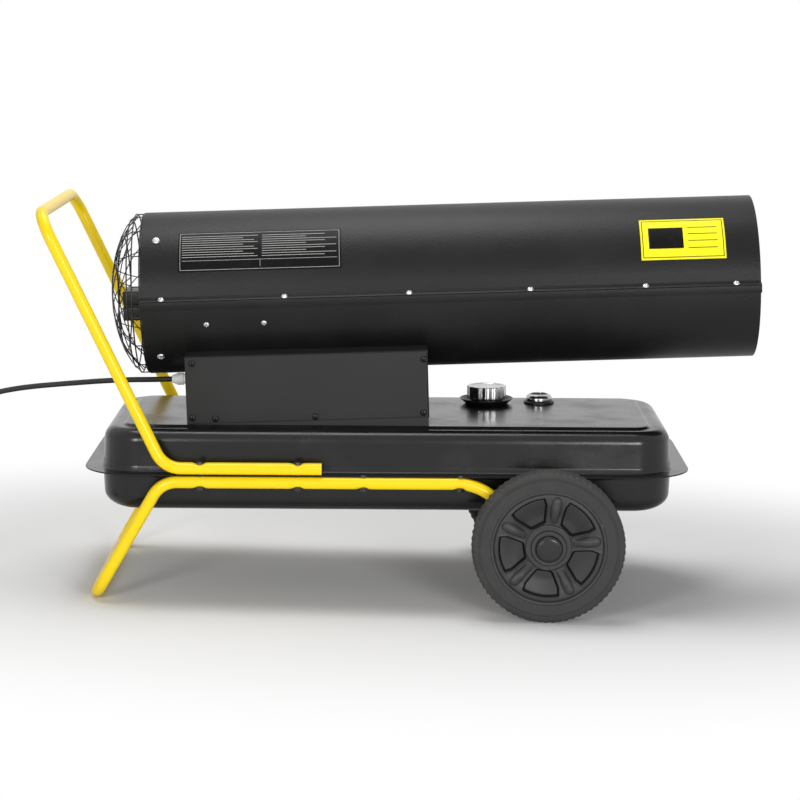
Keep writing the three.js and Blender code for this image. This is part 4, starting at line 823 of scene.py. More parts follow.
def inlet_guard():
    """Rings on a dome, and wires that cross it as straight chords: radius = 44.5 / cos(angle from the middle).
    The dome stands 45 (1 - (r / 134.2)^2.2)^0.8 out of the band at radius r."""
    rim_s, rim_r, nearest = -BARREL_END - 1.5, 134.2, 44.5
    band_s = rim_s - 13

    def dome(radius):
        return band_s - 45 * np.clip(1 - (radius / rim_r) ** 2.2, 0, 1) ** 0.8

    def ring_wire(s, radius):
        return swept(ring(1.2, 10), about_axis(s, radius, angles(120)), (1, 0, 0), closed=True)

    def straight_wire(section, radius, t, *places):
        return swept(section, about_axis(np.array(places), radius, t), (0, -math.sin(t), math.cos(t)))

    skins = [ring_wire(rim_s, rim_r), ring_wire(band_s, rim_r)]
    skins += [ring_wire(dome(radius), radius) for radius in (125.6, 98.4, 46.5)]
    half = math.acos(nearest / rim_r)
    spread = np.linspace(-half, half, 47)
    radius = nearest / np.cos(spread)
    for turned in angles(16):
        path = about_axis(dome(radius), radius, spread + turned + 0.13)
        skins.append(swept(ring(0.9, 8), path, (1, 0.01, 0.02)))
    skins += [straight_wire(ring(1.0, 8), rim_r, t, rim_s, band_s) for t in angles(16) + TURN / 32]
    skins += [straight_wire(ring(1.2, 10), 132.6, t, rim_s - 1.2, rim_s + 3, 24 - BARREL_END)
              for t in np.radians((36, 144, 216, 324))]
    piece("inlet_guard_wires", skins, BARREL, WIRE_BLACK, stands_for=("inlet_guard",), sharp=60)


inlet_guard()


# ---------------------------------------------------------------- fuel tank

def rounded_ring(inset, height):
    """Levels of the tank: rounded rectangles that stand in from the flange's edge by an inset."""
    half_x, half_y = 502 - inset, 218 - inset
    corner = np.maximum(95 - inset, 6)
    v = np.linspace(0, 90, 15)
    rows = []
    for i, (sx, sy) in enumerate(((1, 1), (-1, 1), (-1, -1), (1, -1))):
        t = np.radians(v + 90 * i)
        rows.append(np.stack([sx * (half_x - corner)[:, None] + corner[:, None] * np.cos(t),
                              sy * (half_y - corner)[:, None] + corner[:, None] * np.sin(t),
                              height[:, None] + 0 * t], -1))
    return np.concatenate(rows, 1)


def tank_shells():
    """Each pan is a profile (inset, height) carried round the rounded rectangle, outside and then inside."""
    top = TANK_TOP - 0.5
    upper = np.vstack([
        soften(line((0.3, 0.65), (28.5, 0.65), (31.2, 9), (33, 47)), (0, 4, 7, 0), 6),
        arc(20, 178, 90, 14, (53, 48.4)),
        soften(line((55, 68.4), (63.5, 68.4), (69, top), (100, top), (185, top)), (0, 3, 3, 0, 0), 5),
    ])
    side = arc(1, 180, 270, 16) * (44, 28) + (76, -40)
    lower = np.vstack([
        soften(line((0.3, -0.65), (28.5, -0.65), (30.6, -9), (31.8, -38)), (0, 4, 7, 0), 6),
        side, line((84, -68), (110, -67.5), (185, -67.5)),
    ])
    for word, path, out in (("upper", upper, 0.5), ("lower", lower, -0.5)):
        outside, inside = beside(path, out), beside(path, -out)
        nose = (outside[:1] + inside[:1]) / 2 - (0.3, 0)
        whole = np.vstack([outside[::-1], nose, inside])
        grid = rounded_ring(whole[:, 0], whole[:, 1])
        piece(f"tank_{word}_pan", [skin(grid)], TANK, TANK_PAINT, stands_for=(f"tank_{word}_shell",))


tank_shells()


def filler():
    """Neck with its dished tray, and the ribbed cap that turns on it."""
    z = TANK_TOP + 0.3
    top = z + 31
    place = (*CAP, 0)
    neck = spindle(((25, z - 8), (28, z - 8), (28, z - 0.1), (36, z - 0.1), (46.5, z + 8.6), (45.8, z + 9.6),
                    (35, z + 1.9), (28, z + 2.2), (28, z + 18), (25, z + 18)),
                   (0.4, 0.4, 0.6, 3, 0.7, 0.5, 4, 2.5, 0.8, 0.8), 5, 96, "z", place, True)
    piece("filler_tray", [neck], TANK, BLACK_PLASTIC, stands_for=("filler_neck",))
    outer = soften(line((0, top - 6), (28.8, top - 6), (28.8, z + 12), (30, z + 8.4), (33, z + 8.4),
                        (34, z + 9.6), (34, top - 0.9), (33.1, top), (28, top), (26.5, top - 1.2),
                        (0, top - 1.2)),
                   (0, 0.4, 0.4, 0.6, 0.8, 0.8, 0.7, 0.6, 0.5, 0.8, 0), 4)
    v = angles(240)
    r, h = outer.T[..., None]
    flute = 0.5 - 0.5 * np.cos(12 * v)
    knob = skin(round_grid(r - 1.7 * (r > 32.0) * flute ** 1.6, v, h))
    piece("fuel_cap_knob", [moved(knob, aim("z", place))], TANK, CHROME, "fuel_cap", stands_for=("fuel_cap",),
          sharp=40)


filler()


def gauge():
    """Black base, domed bright bezel, a white dial with a few marks under the window, and the pointer."""
    z = TANK_TOP + 0.3
    top = z + 16
    place = (*GAUGE, 0)
    base = spindle(((0, z - 6), (14, z - 6), (14, z - 0.1), (26.6, z - 0.1), (26.6, z + 2.4), (24.6, z + 4),
                    (0, z + 4)), (0, 0.5, 0.3, 0.6, 1.4, 1, 0), 4, 72, "z", place)
    leg = slab((-3, 3, -3, 3), 0.5, 66, 0.3, aim("z", (*GAUGE, z - 38)))
    pin = spindle(((0, 0), (2, 0), (2, 12), (0, 12)), 0.3, 2, 20, "x", (*GAUGE, 5))
    piece("gauge_base", [base, leg, pin], TANK, BLACK_PLASTIC, stands_for=("gauge_body",))
    bezel = spindle(((19.8, z + 4.3), (22.8, z + 4.3), (22.8, top - 7), (20.6, top - 2.6), (15, top),
                     (14.6, top - 1.4), (18.6, top - 3.9), (19.8, top - 7)),
                    (0.4, 0.8, 4, 5, 0.7, 0.3, 3, 2), 6, 96, "z", place, True)
    piece("gauge_ring", [bezel], TANK, CHROME, stands_for=("gauge_bezel",))
    glass = spindle(((0, top - 4.6), (17.2, top - 4.6), (17.2, top - 3.8), (10, top - 2.6), (0, top - 2.4)),
                    (0, 0.2, 0.3, 6, 0), 5, 72, "z", place)
    piece("gauge_window", [glass], TANK, GLASS, stands_for=("gauge_lens",))
    dial = lathe(line((0, z + 4.05), (18.8, z + 4.05), (18.8, z + 4.28), (0, z + 4.28)), 72)
    piece("gauge_dial", [moved(dial, aim("z", place))], TANK, WHITE_PLASTIC)
    marks = []
    for k in range(9):
        long = 3.6 if k % 4 == 0 else 2.0
        turned = aim("z", (*GAUGE, z + 4.33), spin=40 - 10 * k)
        marks.append(slab((-0.35, 0.35, 17.2 - long, 17.2), 0.2, 0.14, 0.03, turned, 2))
    piece("gauge_marks", marks, TANK, BLACK_FILM)
    needle = plate([soften(line((-1.6, -4), (1.6, -4), (0.6, 13), (-0.6, 13)), 0.4, 3, closed=True)], 0.9, 0.2)
    boss = spindle(((0, z + 4.35), (2.4, z + 4.35), (2.4, z + 7.2), (0, z + 7.2)), (0, 0, 0.6, 0), 3, 28,
                   "z", place)
    piece("gauge_needle", [moved(needle, aim("z", (*GAUGE, z + 6.3))), boss], TANK, RED, "gauge_pointer",
          stands_for=("gauge_pointer",))


gauge()


# ---------------------------------------------------------------- cart

BOLTS = (-305, -145, -38, 121)


def pressed_tube(path, up, stations):
    """The cart's round tube, whose side towards up is pressed in by 3 exp(-(d/8)^4), d from a bolt."""
    circle = ring(1, 32)
    away = np.linalg.norm(path[:, None] - np.array(stations)[None], axis=2).min(1)
    pressed = 3.0 * np.exp(-(away / 8.0) ** 4)[:, None] * np.clip(circle[:, 1], 0, 1) ** 1.5
    return swept(circle * (TUBE - pressed)[..., None], path, up)


def dense(path, gap=6.0):
    """The line with extra points so that no step is longer than a gap."""
    out = [path[:1]]
    for a, b in zip(path[:-1], path[1:]):
        count = max(1, int(np.ceil(np.linalg.norm(b - a) / gap)))
        out.append(a + (b - a) * np.linspace(0, 1, count + 1)[1:, None])
    return np.vstack(out)


def handle_and_legs():
    """Two bent tubes: each runs along both sides of the tank and joins across at its far end."""
    def both_sides(*near):
        """Points of the near side, and then their mirror images in turn back."""
        return np.vstack([near, np.array(near)[::-1] * (1, -1, 1)])

    def bolt_points(places, lift):
        return [TANK.at(x, side * BAR_Y, lift) for x in places for _, side in SIDES]

    y = -BAR_Y
    corners = both_sides(TANK.at(-106, y, BAR_LIFT), TANK.at(-363.5, y, BAR_LIFT), (-587.5, y, 636.0))
    path = dense(soften(corners, 45, 14))
    tube = pressed_tube(path, (0, 0, 1), bolt_points(BOLTS[:2], BAR_LIFT))
    piece("handle_tube", [tube], FLOOR, CART_PAINT, stands_for=("handle_frame",))
    caps = [plastic_end(path[i], path[j]) for i, j in ((0, 1), (-1, -2))]
    piece("handle_end_plugs", caps, FLOOR, BLACK_PLASTIC)

    corners = both_sides((WHEEL[0], y, WHEEL[2]), TANK.at(147.5, y, -BAR_LIFT), TANK.at(-368.3, y, -BAR_LIFT),
                         (-491.0, y, TUBE * math.cos(math.pi / 10)))
    path = dense(soften(corners, (0, 95, 45, 45, 45, 45, 95, 0), 14))
    path[:, 2] = np.maximum(path[:, 2], TUBE)
    tube = pressed_tube(path, (0, 0, -1), bolt_points(BOLTS, -BAR_LIFT))
    eyes = [spindle(((7.3, -10), (13, -10), (13, 10), (7.3, 10)), 1.2, 4, 48, "y",
                    (WHEEL[0], side * BAR_Y, WHEEL[2]), True) for _, side in SIDES]
    piece("leg_tube", [tube] + eyes, FLOOR, CART_PAINT, stands_for=("leg_frame",))


def plastic_end(end, inner):
    """A black plug pressed into a tube's open end, its rim just proud of it."""
    heading = unit(end - inner)
    profile = soften(line((0, -1.5), (9.0, -1.5), (9.0, 0.9), (0, 1.3)), (0, 0.3, 0.7, 0), 4)
    return moved(lathe(profile, 32), facing(end, heading))


handle_and_legs()


def hexagon_nut(size, tall, bore):
    """A nut with its corners turned off: the six-sided radius drops to a circle near both faces."""
    v = angles(60)
    flat = np.cos(math.pi / 6) / np.cos((v + math.pi / 6) % (math.pi / 3) - math.pi / 6)
    levels = ((0, 0.90), (0.12, 0.97), (0.25, 1.0), (0.75, 1.0), (0.88, 0.97), (1, 0.90))
    rows = [round_grid(size * np.minimum(flat, limit), v, h * tall) for h, limit in levels]
    return skin(np.stack(rows + [round_grid(bore, v, tall), round_grid(bore, v, 0)]), round_rows=True)


def frame_bolts():
    """Carriage bolts through the tubes and the tank's flange, each with a washer and a nut below."""
    head = lathe(soften(line((0, -2), (6.5, -2), (6.3, 0.2), (3.6, 1.4), (0, 1.5)), (0, 0.5, 1, 3, 0), 5), 36)
    washer = lathe(soften(line((3.6, 0), (7.8, 0), (7.8, 1.1), (3.6, 1.1)), 0.25, 3, closed=True), 36, False)
    nut = hexagon_nut(6.7, 5.2, 3.3)
    low = -BAR_LIFT - TUBE
    for i, x in enumerate(BOLTS):
        high = BAR_LIFT + TUBE if i < 2 else 1.15
        for word, side in SIDES:
            y = side * BAR_Y
            shank = spindle(((0, low - 4.6), (3.2, low - 4.6), (3.5, low - 3.9), (3.5, high + 1),
                             (0, high + 1)), 0.2, 2, 24, "z", (x, y, 0))
            parts = ((head, high + 0.3), (nut, low - 2.9), (washer, low + 2.2))
            skins = [shank] + [moved(part, aim("z", (x, y, level))) for part, level in parts]
            piece(f"frame_bolt_set_{word}_{i + 1}", skins, TANK, DARK_ZINC,
                  stands_for=(f"frame_bolt_{word}_{i + 1}",))


frame_bolts()


# ---------------------------------------------------------------- wheels

def wheel_face(r, v):
    """Height of the wheel's outer face: a surface that flares to the rim, a half-round rib on each of five
    spokes, and between them closed windows with steep sides."""
    height = 11.5 + 6.0 * step_up(r, 50, 84) + 0 * v
    height = height - 1.6 * np.exp(-((r - 88.6) / 0.9) ** 2) + 2.6 * step_up(r, 89.4, 91.0)
    hub = 1 - step_up(r, 27.5, 30.0)
    height = height + 9.5 * hub + 3.4 * (1 - step_up(r, 36.4, 38.6)) * (1 - hub)
    for k in range(5):
        spoke = math.radians(82 + 72 * k)
        a, c = r * np.cos(v - spoke), r * np.sin(v - spoke)
        off = np.hypot(c, a - np.clip(a, 44, 77.6))
        crown = np.sqrt(np.clip(1 - (off / (6.4 + 3.4 * step_up(a, 45, 72))) ** 2, 0, 1))
        height = np.maximum(height, 11.0 + 11.8 * step_up(a, 34, 66) * crown)
    for k in range(5):
        window = math.radians(82 + 36 + 72 * k)
        a, c = r * np.cos(v - window), abs(r * np.sin(v - window))
        inside = np.minimum.reduce([
            a - 38.6, 82.2 - r, (a - 38.6) * 0.52 + (13.2 - c) * 0.855, (28.8 - c) + (a - 66) * 0.16,
        ])
        sunk = 6.0 * step_up(inside, 0.0, 1.2) + 3.6 * np.exp(-((inside - 1.5) / 0.9) ** 2)
        height = height + (0.9 * np.exp(-((inside + 1.3) / 1.0) ** 2) - sunk) * (a > 0)
    return np.minimum(height, 22.9)


def wheel_back(r, v):
    """Height of the inner face: a flat web with ten thin ribs between the hub and the rim."""
    height = -4.0 - 19.0 * (1 - step_up(r, 22, 25.0)) - 17.0 * step_up(r, 85.5, 87.5)
    for k in range(10):
        turned = v - math.radians(10 + 36 * k)
        a, c = r * np.cos(turned), abs(r * np.sin(turned))
        rib = -4 - 9 * (1 - step_up(c, 1.0, 2.2)) * step_up(r, 20, 22)
        height = np.where(a > 0, np.minimum(height, rib), height)
    return np.maximum(height, -23)


def wheel_disc():
    """The wheel's faces, front and back, as one closed skin round its bore."""
    def face(radii, shape):
        r, v = np.broadcast_arrays(np.concatenate(radii)[:, None], angles(480))
        return round_grid(r, v, shape(r, v))

    front = face([np.linspace(7.3, 24, 8), np.linspace(25.5, 40, 16), np.linspace(40.7, 79.5, 58),
                  np.linspace(80, 87.5, 18), np.linspace(88.2, 93, 9), (93.5, 93.8, 94.0)], wheel_face)
    front[-2:, :, 2] = 20.2
    front[-1, :, 2] = 19.2
    rear = face([(94.0, 93.6), np.linspace(93, 84, 14), np.linspace(82, 26, 20), np.linspace(25.5, 20, 8),
                 (14.0, 7.3)], wheel_back)
    rear[0, :, 2] = -20.2
    return skin(np.concatenate([front, rear]), round_rows=True)


def tyre(half):
    """A tyre with slanting lugs on both shoulders and a rib round its middle."""
    side = line((94.3, 1 - half), (111, -half), (112.5, 1.5 - half), (114.2, 1.5 - half), (115.4, 0.3 - half),
                (120.5, 2.2 - half), (124, 8 - half))
    bends = (0.6, 0.7, 0.5, 0.5, 1.5, 4, 4)
    outline = soften(np.vstack([side, side[::-1] * (1, -1)]), bends + bends[::-1], 4, closed=True)
    r, h = dense(np.vstack([outline, outline[:1]]), 2.2)[:-1].T[..., None]
    v = angles(720)
    lug = 0.5 + 0.5 * np.tanh(2.6 * np.cos(70 * v + h * 0.20))
    rib = np.exp(-(h / 2.2) ** 2)
    crown = step_up(r, 117.5, 122.5)
    return skin(round_grid(r - 0.3 * crown + crown * 1.3 * np.maximum(lug, rib), v, h), round_rows=True)


def wheels():
    """Two wheels with their tyres and hub covers, and the axle."""
    half = 23
    disc, tread = wheel_disc(), tyre(half)
    cap = spindle(((0, 3), (8, 3), (8, 0.2), (20.4, 0.2), (22.2, 1.0), (22.2, 3.0), (20.5, 6.2), (17.2, 8.3),
                   (16.2, 8.6), (0, 9.4)), (0, 0.3, 0.3, 0.4, 0.6, 2, 3.5, 1.2, 0.6, 0), 5, 80, "z",
                  (0, 0, half + 0.3))
    for word, side in SIDES:
        def put(p, side=side):
            a, b, h = p.T
            return np.stack([WHEEL[0] - side * a, side * (WHEEL[1] + h), WHEEL[2] + b], 1)
        body = f"wheel_{word}"
        piece(f"wheel_disc_{word}", [moved(disc, put)], FLOOR, WHEEL_PLASTIC, body, (body,), 48)
        piece(f"tyre_tread_{word}", [moved(tread, put)], FLOOR, TYRE, body, (f"tyre_{word}",), 50)
        piece(f"hub_cover_{word}", [moved(cap, put)], FLOOR, HUB_PLASTIC, stands_for=(f"hub_cap_{word}",))
    end = WHEEL[1] + half + 4
    rod = spindle(((0, -end), (7, -end), (7, end), (0, end)), (0, 1, 1, 0), 3, 40, "y", (WHEEL[0], 0, WHEEL[2]))
    piece("axle_rod", [rod], FLOOR, ZINC, stands_for=("axle",))


wheels()


# ---------------------------------------------------------------- control box

def control_box():
    """Two end plates cut to the barrel, a floor and two top strips, and the plain near cover."""
    radius = 136.8
    reach = math.degrees(math.acos(87 / radius)) * 0.999
    seat = arc(radius, -90 - reach, -90 + reach, 60)
    ends_at = line((-146.5, BOX_LOW), (146.5, BOX_LOW), (146.5, BOX_TOP), (seat[-1, 0] + 0.8, -87.3))
    outline = np.vstack([ends_at, seat[::-1], line((-seat[-1, 0] - 0.8, -87.3), (-146.5, BOX_TOP))])
    hole = ring(8.0, 32) + (GLAND_Y, GLAND_N)
    floor = (BOX_LEFT + 1, BOX_RIGHT - 1, -146.8, 146.8)
    skins = [moved(plate([outline, hole], 1.0, 0.28), aim("x", (BOX_LEFT + 0.5, 0, 0))),
             moved(plate([outline], 1.0, 0.28), aim("x", (BOX_RIGHT - 0.5, 0, 0))),
             slab(floor, 0.6, 1.0, 0.3, aim("z", (0, 0, BOX_LOW + 0.5)))]
    for side in (-1, 1):
        strip = line((104, -88.1), (107, -88.9), (146.2, -91.5), (146.2, -97.5)) * (side, 1)
        skins.append(sheet(soften(strip, 1.2, 4), 1.0, BOX_LEFT + 0.8, BOX_RIGHT - 0.8))
    piece("box_shell", skins, BARREL, BOX_PAINT, stands_for=("box_chassis",))

    cover = slab((BOX_LEFT + 0.2, BOX_RIGHT - 1.6, BOX_LOW + 0.3, BOX_TOP - 1.4), 1.2, 1.0, 0.85,
                 aim("y", (0, -147.8, 0)))
    piece("box_cover_plate", [cover], BARREL, BOX_PAINT, stands_for=("box_cover_near",))
    head = pan_head(5.6, 2.8)
    spots = ((-429.7, -101.6), (-46.8, -105.4), (-432.1, -192.2), (-394.4, -194.8), (-228.8, -196.0),
             (-50.1, -194.5))
    for word, side in SIDES:
        seats = [facing((s, side * PANEL_Y, n), (0, side, 0)) for s, n in spots]
        piece(f"cover_screws_{word}", many(head, seats), BARREL, DARK_SCREW, sharp=50)


control_box()


# ---------------------------------------------------------------- air side

def finned(profile, fins, depth, low, high):
    """A lathe cut between two heights: r - depth cut, where cut steps from 0 to 1 with -cos(fins v)."""
    r, h = profile.T[..., None]
    v = angles(288)
    cut = step_up(-np.cos(fins * v), -0.3, 0.3)
    here = step_up(h, low, low + 5) * (1 - step_up(h, high - 5, high))
    return skin(round_grid(r - depth * here * cut, v, h))


def heads_round_axis(head, s, radius, degrees):
    """The same screw head at angles round the barrel's axis, facing the inlet."""
    return many(head, [aim("x", about_axis(s, radius, t), -1) for t in np.radians(degrees)])


def air_side():
    """Motor, air pump, filter box, shaft and fan, all on the barrel's axis behind the guard."""
    motor = soften(line((0, -462), (42, -462), (55, -448), (58, -444), (58, -358), (55, -354), (38, -344),
                        (18, -340), (0, -340)), (0, 3, 4, 4, 4, 4, 4, 3, 0), 6)
    bolts = heads_round_axis(pan_head(4.2, 2.6), -457.5, 47.5, (45, 135, 225, 315))
    casing = moved(finned(dense(motor, 5), 40, 2.4, -440, -362), aim("x"))
    piece("motor_casing", [casing] + bolts, BARREL, ALUMINIUM, stands_for=("motor",), sharp=40)
    pump = spindle(((31, -498), (44, -498), (44, -462.6), (6.5, -462.6), (6.5, -470), (31, -470)), 1.2, 4, 72,
                   hollow=True)
    heads = heads_round_axis(pan_head(3.6, 2.4), -498.2, 38, (20, 90, 160, 200, 270, 340))
    piece("pump_ring", [pump] + heads, BARREL, ALUMINIUM, stands_for=("pump_housing",), sharp=40)
    middle = aim("x", (-529, 0, 0))
    skins = [slab((-38, 38, -16.4, 8), 3.5, 44, 2.5, middle), slab((-38, 38, -42, -17.6), 3.5, 44, 2.5, middle),
             slab((-36.6, 36.6, -40, 6), 2, 41, 1, middle),
             spindle(((0, -512.4), (44, -512.4), (44, -498.6), (0, -498.6)), (0, 2, 1, 0), 4, 72)]
    for n in (-37, -32, -27, -22, -12.5, -7.5, -2.5, 2.5):
        skins.append(slab((-30, 30, n, n + 1.6), 0.7, 2.2, 0.5, aim("x", (-551.4, 0, 0)), 3))
    piece("filter_box", skins, BARREL, BLACK_PLASTIC, stands_for=("filter_cover",), sharp=40)
    rotor = spindle(((0, -496), (30, -496), (30, -471), (6, -471), (6, -287), (0, -286)), (0, 1, 1, 1, 1, 0),
                    3, 40)
    piece("shaft_turned", [rotor], BARREL, STEEL, "fan", stands_for=("motor_shaft",))


def fan_wheel():
    """Five blades: at radius r the section is an ellipse, long in a chord that widens outwards, turned by a
    pitch that falls from 42 to 28 degrees."""
    skins = [spindle(((6.3, -322), (21, -322), (25, -318), (25, -296), (23, -294), (6.3, -294)), 1.5, 4, 64,
                     hollow=True)]
    r = np.linspace(20, 121.5, 22)[:, None]
    front = np.interp(r, (20, 60, 112, 118, 121.5), (-12, -20, -24, -22, -12))
    back = np.interp(r, (20, 70, 108, 118, 121.5), (12, 26, 37, 33, 16))
    phi = angles(28)
    chord = (front + back) / 2 + (back - front) / 2 * np.cos(phi)
    thick = 1.25 * np.sign(np.sin(phi)) * abs(np.sin(phi)) ** 0.6 + 0.0015 * (chord ** 2) - 0.6
    pitch = np.radians(42 - 14 * (r - 20) / 100)
    tangent = chord * np.cos(pitch) - thick * np.sin(pitch)
    axial = chord * np.sin(pitch) + thick * np.cos(pitch)
    blade = skin(np.stack([r + 0 * tangent, tangent, axial], -1))
    skins += many(blade, [aim("x", (-308, 0, 0), spin=90 + 72 * k) for k in range(5)])
    piece("fan_blades", skins, BARREL, ALUMINIUM, "fan", stands_for=("fan",), sharp=40)


air_side()
fan_wheel()


# ---------------------------------------------------------------- burner

def burner():
    """The chamber is a thin drum with three rolled beads; the outlet cone holds a dished baffle on three bars."""
    s = np.linspace(-218, 330, 160)
    bead = sum(2.4 * np.exp(-((s - at) / 4.0) ** 2) for at in (-130, 50, 230))
    wall = np.stack([97.4 + bead, s], 1)
    drum = np.vstack([beside(wall, 0.5), beside(wall, -0.5)[::-1]])
    skins = [moved(lathe(drum, 96, False), aim("x"))]
    skins += [slab((-11, 11, -123.6, -85), 1, 3.6, 0.5, aim("y", (at, side * 50, 0), side))
              for at in (-151, 251) for side in (-1, 1)]
    piece("chamber_drum", skins, BARREL, HEATED, stands_for=("combustion_chamber",))
    head = spindle(((8.3, -221.3), (97.8, -221.3), (97.8, -218.3), (34, -218.3), (34, -158.3), (30, -158.3),
                    (30, -217.3), (8.3, -217.3)), 0.5, 3, 96, hollow=True)
    vane = moved(plate([rounded_box(40, 88, -2, 7, 1.5)], 1.2, 0.3),
                 lambda p: np.stack([p[:, 0], p[:, 1] * 0.9 + p[:, 2], p[:, 1] * 0.8], 1))
    vanes = many(vane, [aim("x", (-217, 0, 0), spin=30 * k) for k in range(12)])
    piece("burner_plate", [head] + vanes, BARREL, HEATED, stands_for=("burner_head",))
    start, tip = 330.4, 408.3
    cone = spindle(((96.4, start), (97.9, start), (72, tip), (70.4, tip)), 0.5, 3, 96, hollow=True)
    baffle = spindle(((0, start + 19.6), (30, start + 21), (44, start + 26), (44, start + 27.4),
                      (30, start + 22.4), (0, start + 21)), (0, 20, 0.5, 0.5, 20, 0), 5, 72)
    bars = [slab((8, 89.6, -6, 6), 1.5, 2.4, 0.6, aim("x", (start + 25, 0, 0), spin=t)) for t in (90, 210, 330)]
    piece("outlet_cone", [cone, baffle] + bars, BARREL, HEATED, stands_for=("outlet_diffuser",))
    nozzle = spindle(((0, -231.3), (6, -231.3), (8, -229), (8, -203), (5, -198.5), (2.6, -198.4), (2.6, -198),
                      (0, -198)), (0, 0.5, 0.5, 1, 0.8, 0.2, 0.1, 0), 3, 40)
    nut = moved(hexagon_nut(12, 8.2, 6.2), aim("x", (-230.0, 0, 0)))
    piece("nozzle_turned", [nozzle, nut], BARREL, BRASS, stands_for=("fuel_nozzle",))
    above = (0, 0, 20)
    body = spindle(((0, -242.3), (4.4, -242.3), (5, -236), (7, -233), (7, -208.4), (3, -207), (0, -207)),
                   (0, 0.6, 1, 1, 0.8, 0.5, 0), 4, 40, "x", above)
    wire = spindle(((0, -208.5), (1.4, -208.5), (1.4, -196.3), (0, -196.3)), (0, 0.1, 0.5, 0), 3, 20, "x", above)
    nut = moved(hexagon_nut(10, 7.6, 6.4), aim("x", (-229.2, 0, 20)))
    piece("spark_plug_body", [body, wire, nut], BARREL, CERAMIC, stands_for=("spark_plug",))


burner()


# ---------------------------------------------------------------- controls

ROCKER_S, RESET_S, KNOB_S, CONTROL_N = -372, -340, -262, -152


def controls():
    """The far panel with its rocker, reset button and temperature knob."""
    def opening(half_s, half_n, radius):
        return rounded_box(ROCKER_S - half_s, ROCKER_S + half_s, CONTROL_N - half_n, CONTROL_N + half_n, radius)

    def level(depth):
        return aim("y", (0, PANEL_Y + depth, 0))

    panel = plate([rounded_box(BOX_LEFT + 0.2, BOX_RIGHT - 0.2, -202.1, -91.3, 0.8), opening(14, 11, 1),
                   ring(4.3, 24) + (KNOB_S, CONTROL_N), ring(6.3, 24) + (RESET_S, CONTROL_N)], 1.0, 0.45)
    piece("control_panel_plate", [moved(panel, level(-0.5))], BARREL, BOX_PAINT,
          stands_for=("control_panel_far",))
    window, small = opening(11.6, 8.6, 0.8), ring(3.8, 28) + (RESET_S, CONTROL_N)
    border = rounded_box(ROCKER_S - 17, RESET_S + 10, CONTROL_N - 14, CONTROL_N + 14, 4)
    bezel = plate([border, window, small], 2.3, 0.8)
    well = opening(13.4, 10.4, 1)
    skins = [moved(bezel, level(1.45)), moved(plate([well, window], 14, 0.5), level(-7)),
             moved(plate([well], 10, 0.8), level(-19)),
             spindle(((3.8, 130.4), (6, 130.4), (6, 149), (3.8, 149)), 0.4, 3, 36, "y",
                     (RESET_S, 0, CONTROL_N), True)]
    piece("switch_bezel", skins, BARREL, BLACK_PLASTIC, stands_for=("switch_housing",))
    rocker = soften(line((-9.8, 0), (9.8, 0), (9, 5.25), (0, 5.6), (-9, 7.5)), (0.4, 0.4, 0.8, 14, 0.8), 5,
                    closed=True)
    key = moved(plate([rocker], 16, 0.7), aim("z", (ROCKER_S, PANEL_Y - 3, CONTROL_N)))
    piece("rocker_key", [key], BARREL, RED, "power_rocker", stands_for=("power_rocker",))
    button = spindle(((0, 138.3), (3.5, 138.3), (3.5, 152.8), (0, 152.8)), (0, 0.4, 1.1, 0), 4, 36, "y",
                     (RESET_S, 0, CONTROL_N))
    piece("reset_pin", [button], BARREL, RED, "reset_button", stands_for=("reset_button",))

    low = PANEL_Y + 0.3
    side = soften(line((0, low + 3), (4.3, low + 3), (4.3, low), (18.4, low), (19, low + 0.8),
                       (18.2, low + 10.6), (16.6, low + 12), (0, low + 12.4)),
                  (0, 0.2, 0.2, 0.4, 0.5, 1, 1.5, 0), 5)
    r, h = side.T[..., None]
    v = angles(216)
    grip = step_up(np.cos(24 * v), -0.2, 0.6) * 1.1
    knob = skin(round_grid(r - grip * (r > 16) * step_up(h, low + 2, low + 3.4), v, h))
    pointer = slab((-1.9, 1.9, 1, 15), 1.2, 3.4, 0.7, aim("y", (KNOB_S, low + 13.2, CONTROL_N), spin=180))
    piece("thermostat_dial_knob", [moved(knob, aim("y", (KNOB_S, 0, CONTROL_N))), pointer], BARREL, BLACK_PLASTIC,
          "thermostat_knob", stands_for=("thermostat_knob",), sharp=45)
    marks = []
    for k in range(10):
        turned = aim("y", (KNOB_S, PANEL_Y + 0.12, CONTROL_N), spin=-90 - 30 * k)
        marks.append(slab((22, 23.5 + 0.45 * k, -0.55, 0.55), 0.3, 0.2, 0.05, turned, 2))
    piece("thermostat_marks", marks, BARREL, GREY_PRINT)


controls()


# ---------------------------------------------------------------- hoses and the painted shade under the box

def hoses():
    """Two rubber hoses on smooth lines, each with a crimped sleeve near its ends."""
    bore = 135.2
    fuel = [TANK.at(-215, -40, 114.7), TANK.at(-215, -40, 124.4)]
    fuel += [BARREL.at(*p) for p in (
        (-276, -37, -bore - 23), (-256, -34, 1 - bore), (-256, -34, 39 - bore), (-256, -34, -50),
        (-251, -16, -8), (-238.6, 0, 0), (-231.4, 0, 0))]
    air = [BARREL.at(*p) for p in (
        (-480, -8, -39), (-480, -8, -49), (-480, -8, -58), (-466, -22, 45 - bore), (-432, -43, 23 - bore),
        (-424, -46, -bore), (-398, -36, -bore - 29), (-338, -8, -bore - 37), (-278, 20, -bore - 29),
        (-252, 30, -bore - 3), (-252, 30, 39 - bore), (-252, 30, -58), (-242, 27, -32), (-231.3, 24, -24),
        (-221.8, 24, -24))]
    up = (0.11, 1, 0.07)
    for name, points in (("fuel", fuel), ("air", air)):
        path = through(points, 7)
        skins = [swept(ring(3.0, 16), path, up)]
        skins += [swept(ring(3.9, 16), path[a:b], up) for a, b in ((1, 7), (-8, -2))]
        piece(f"{name}_hose_line", skins, FLOOR, CORD, stands_for=(f"{name}_hose",))


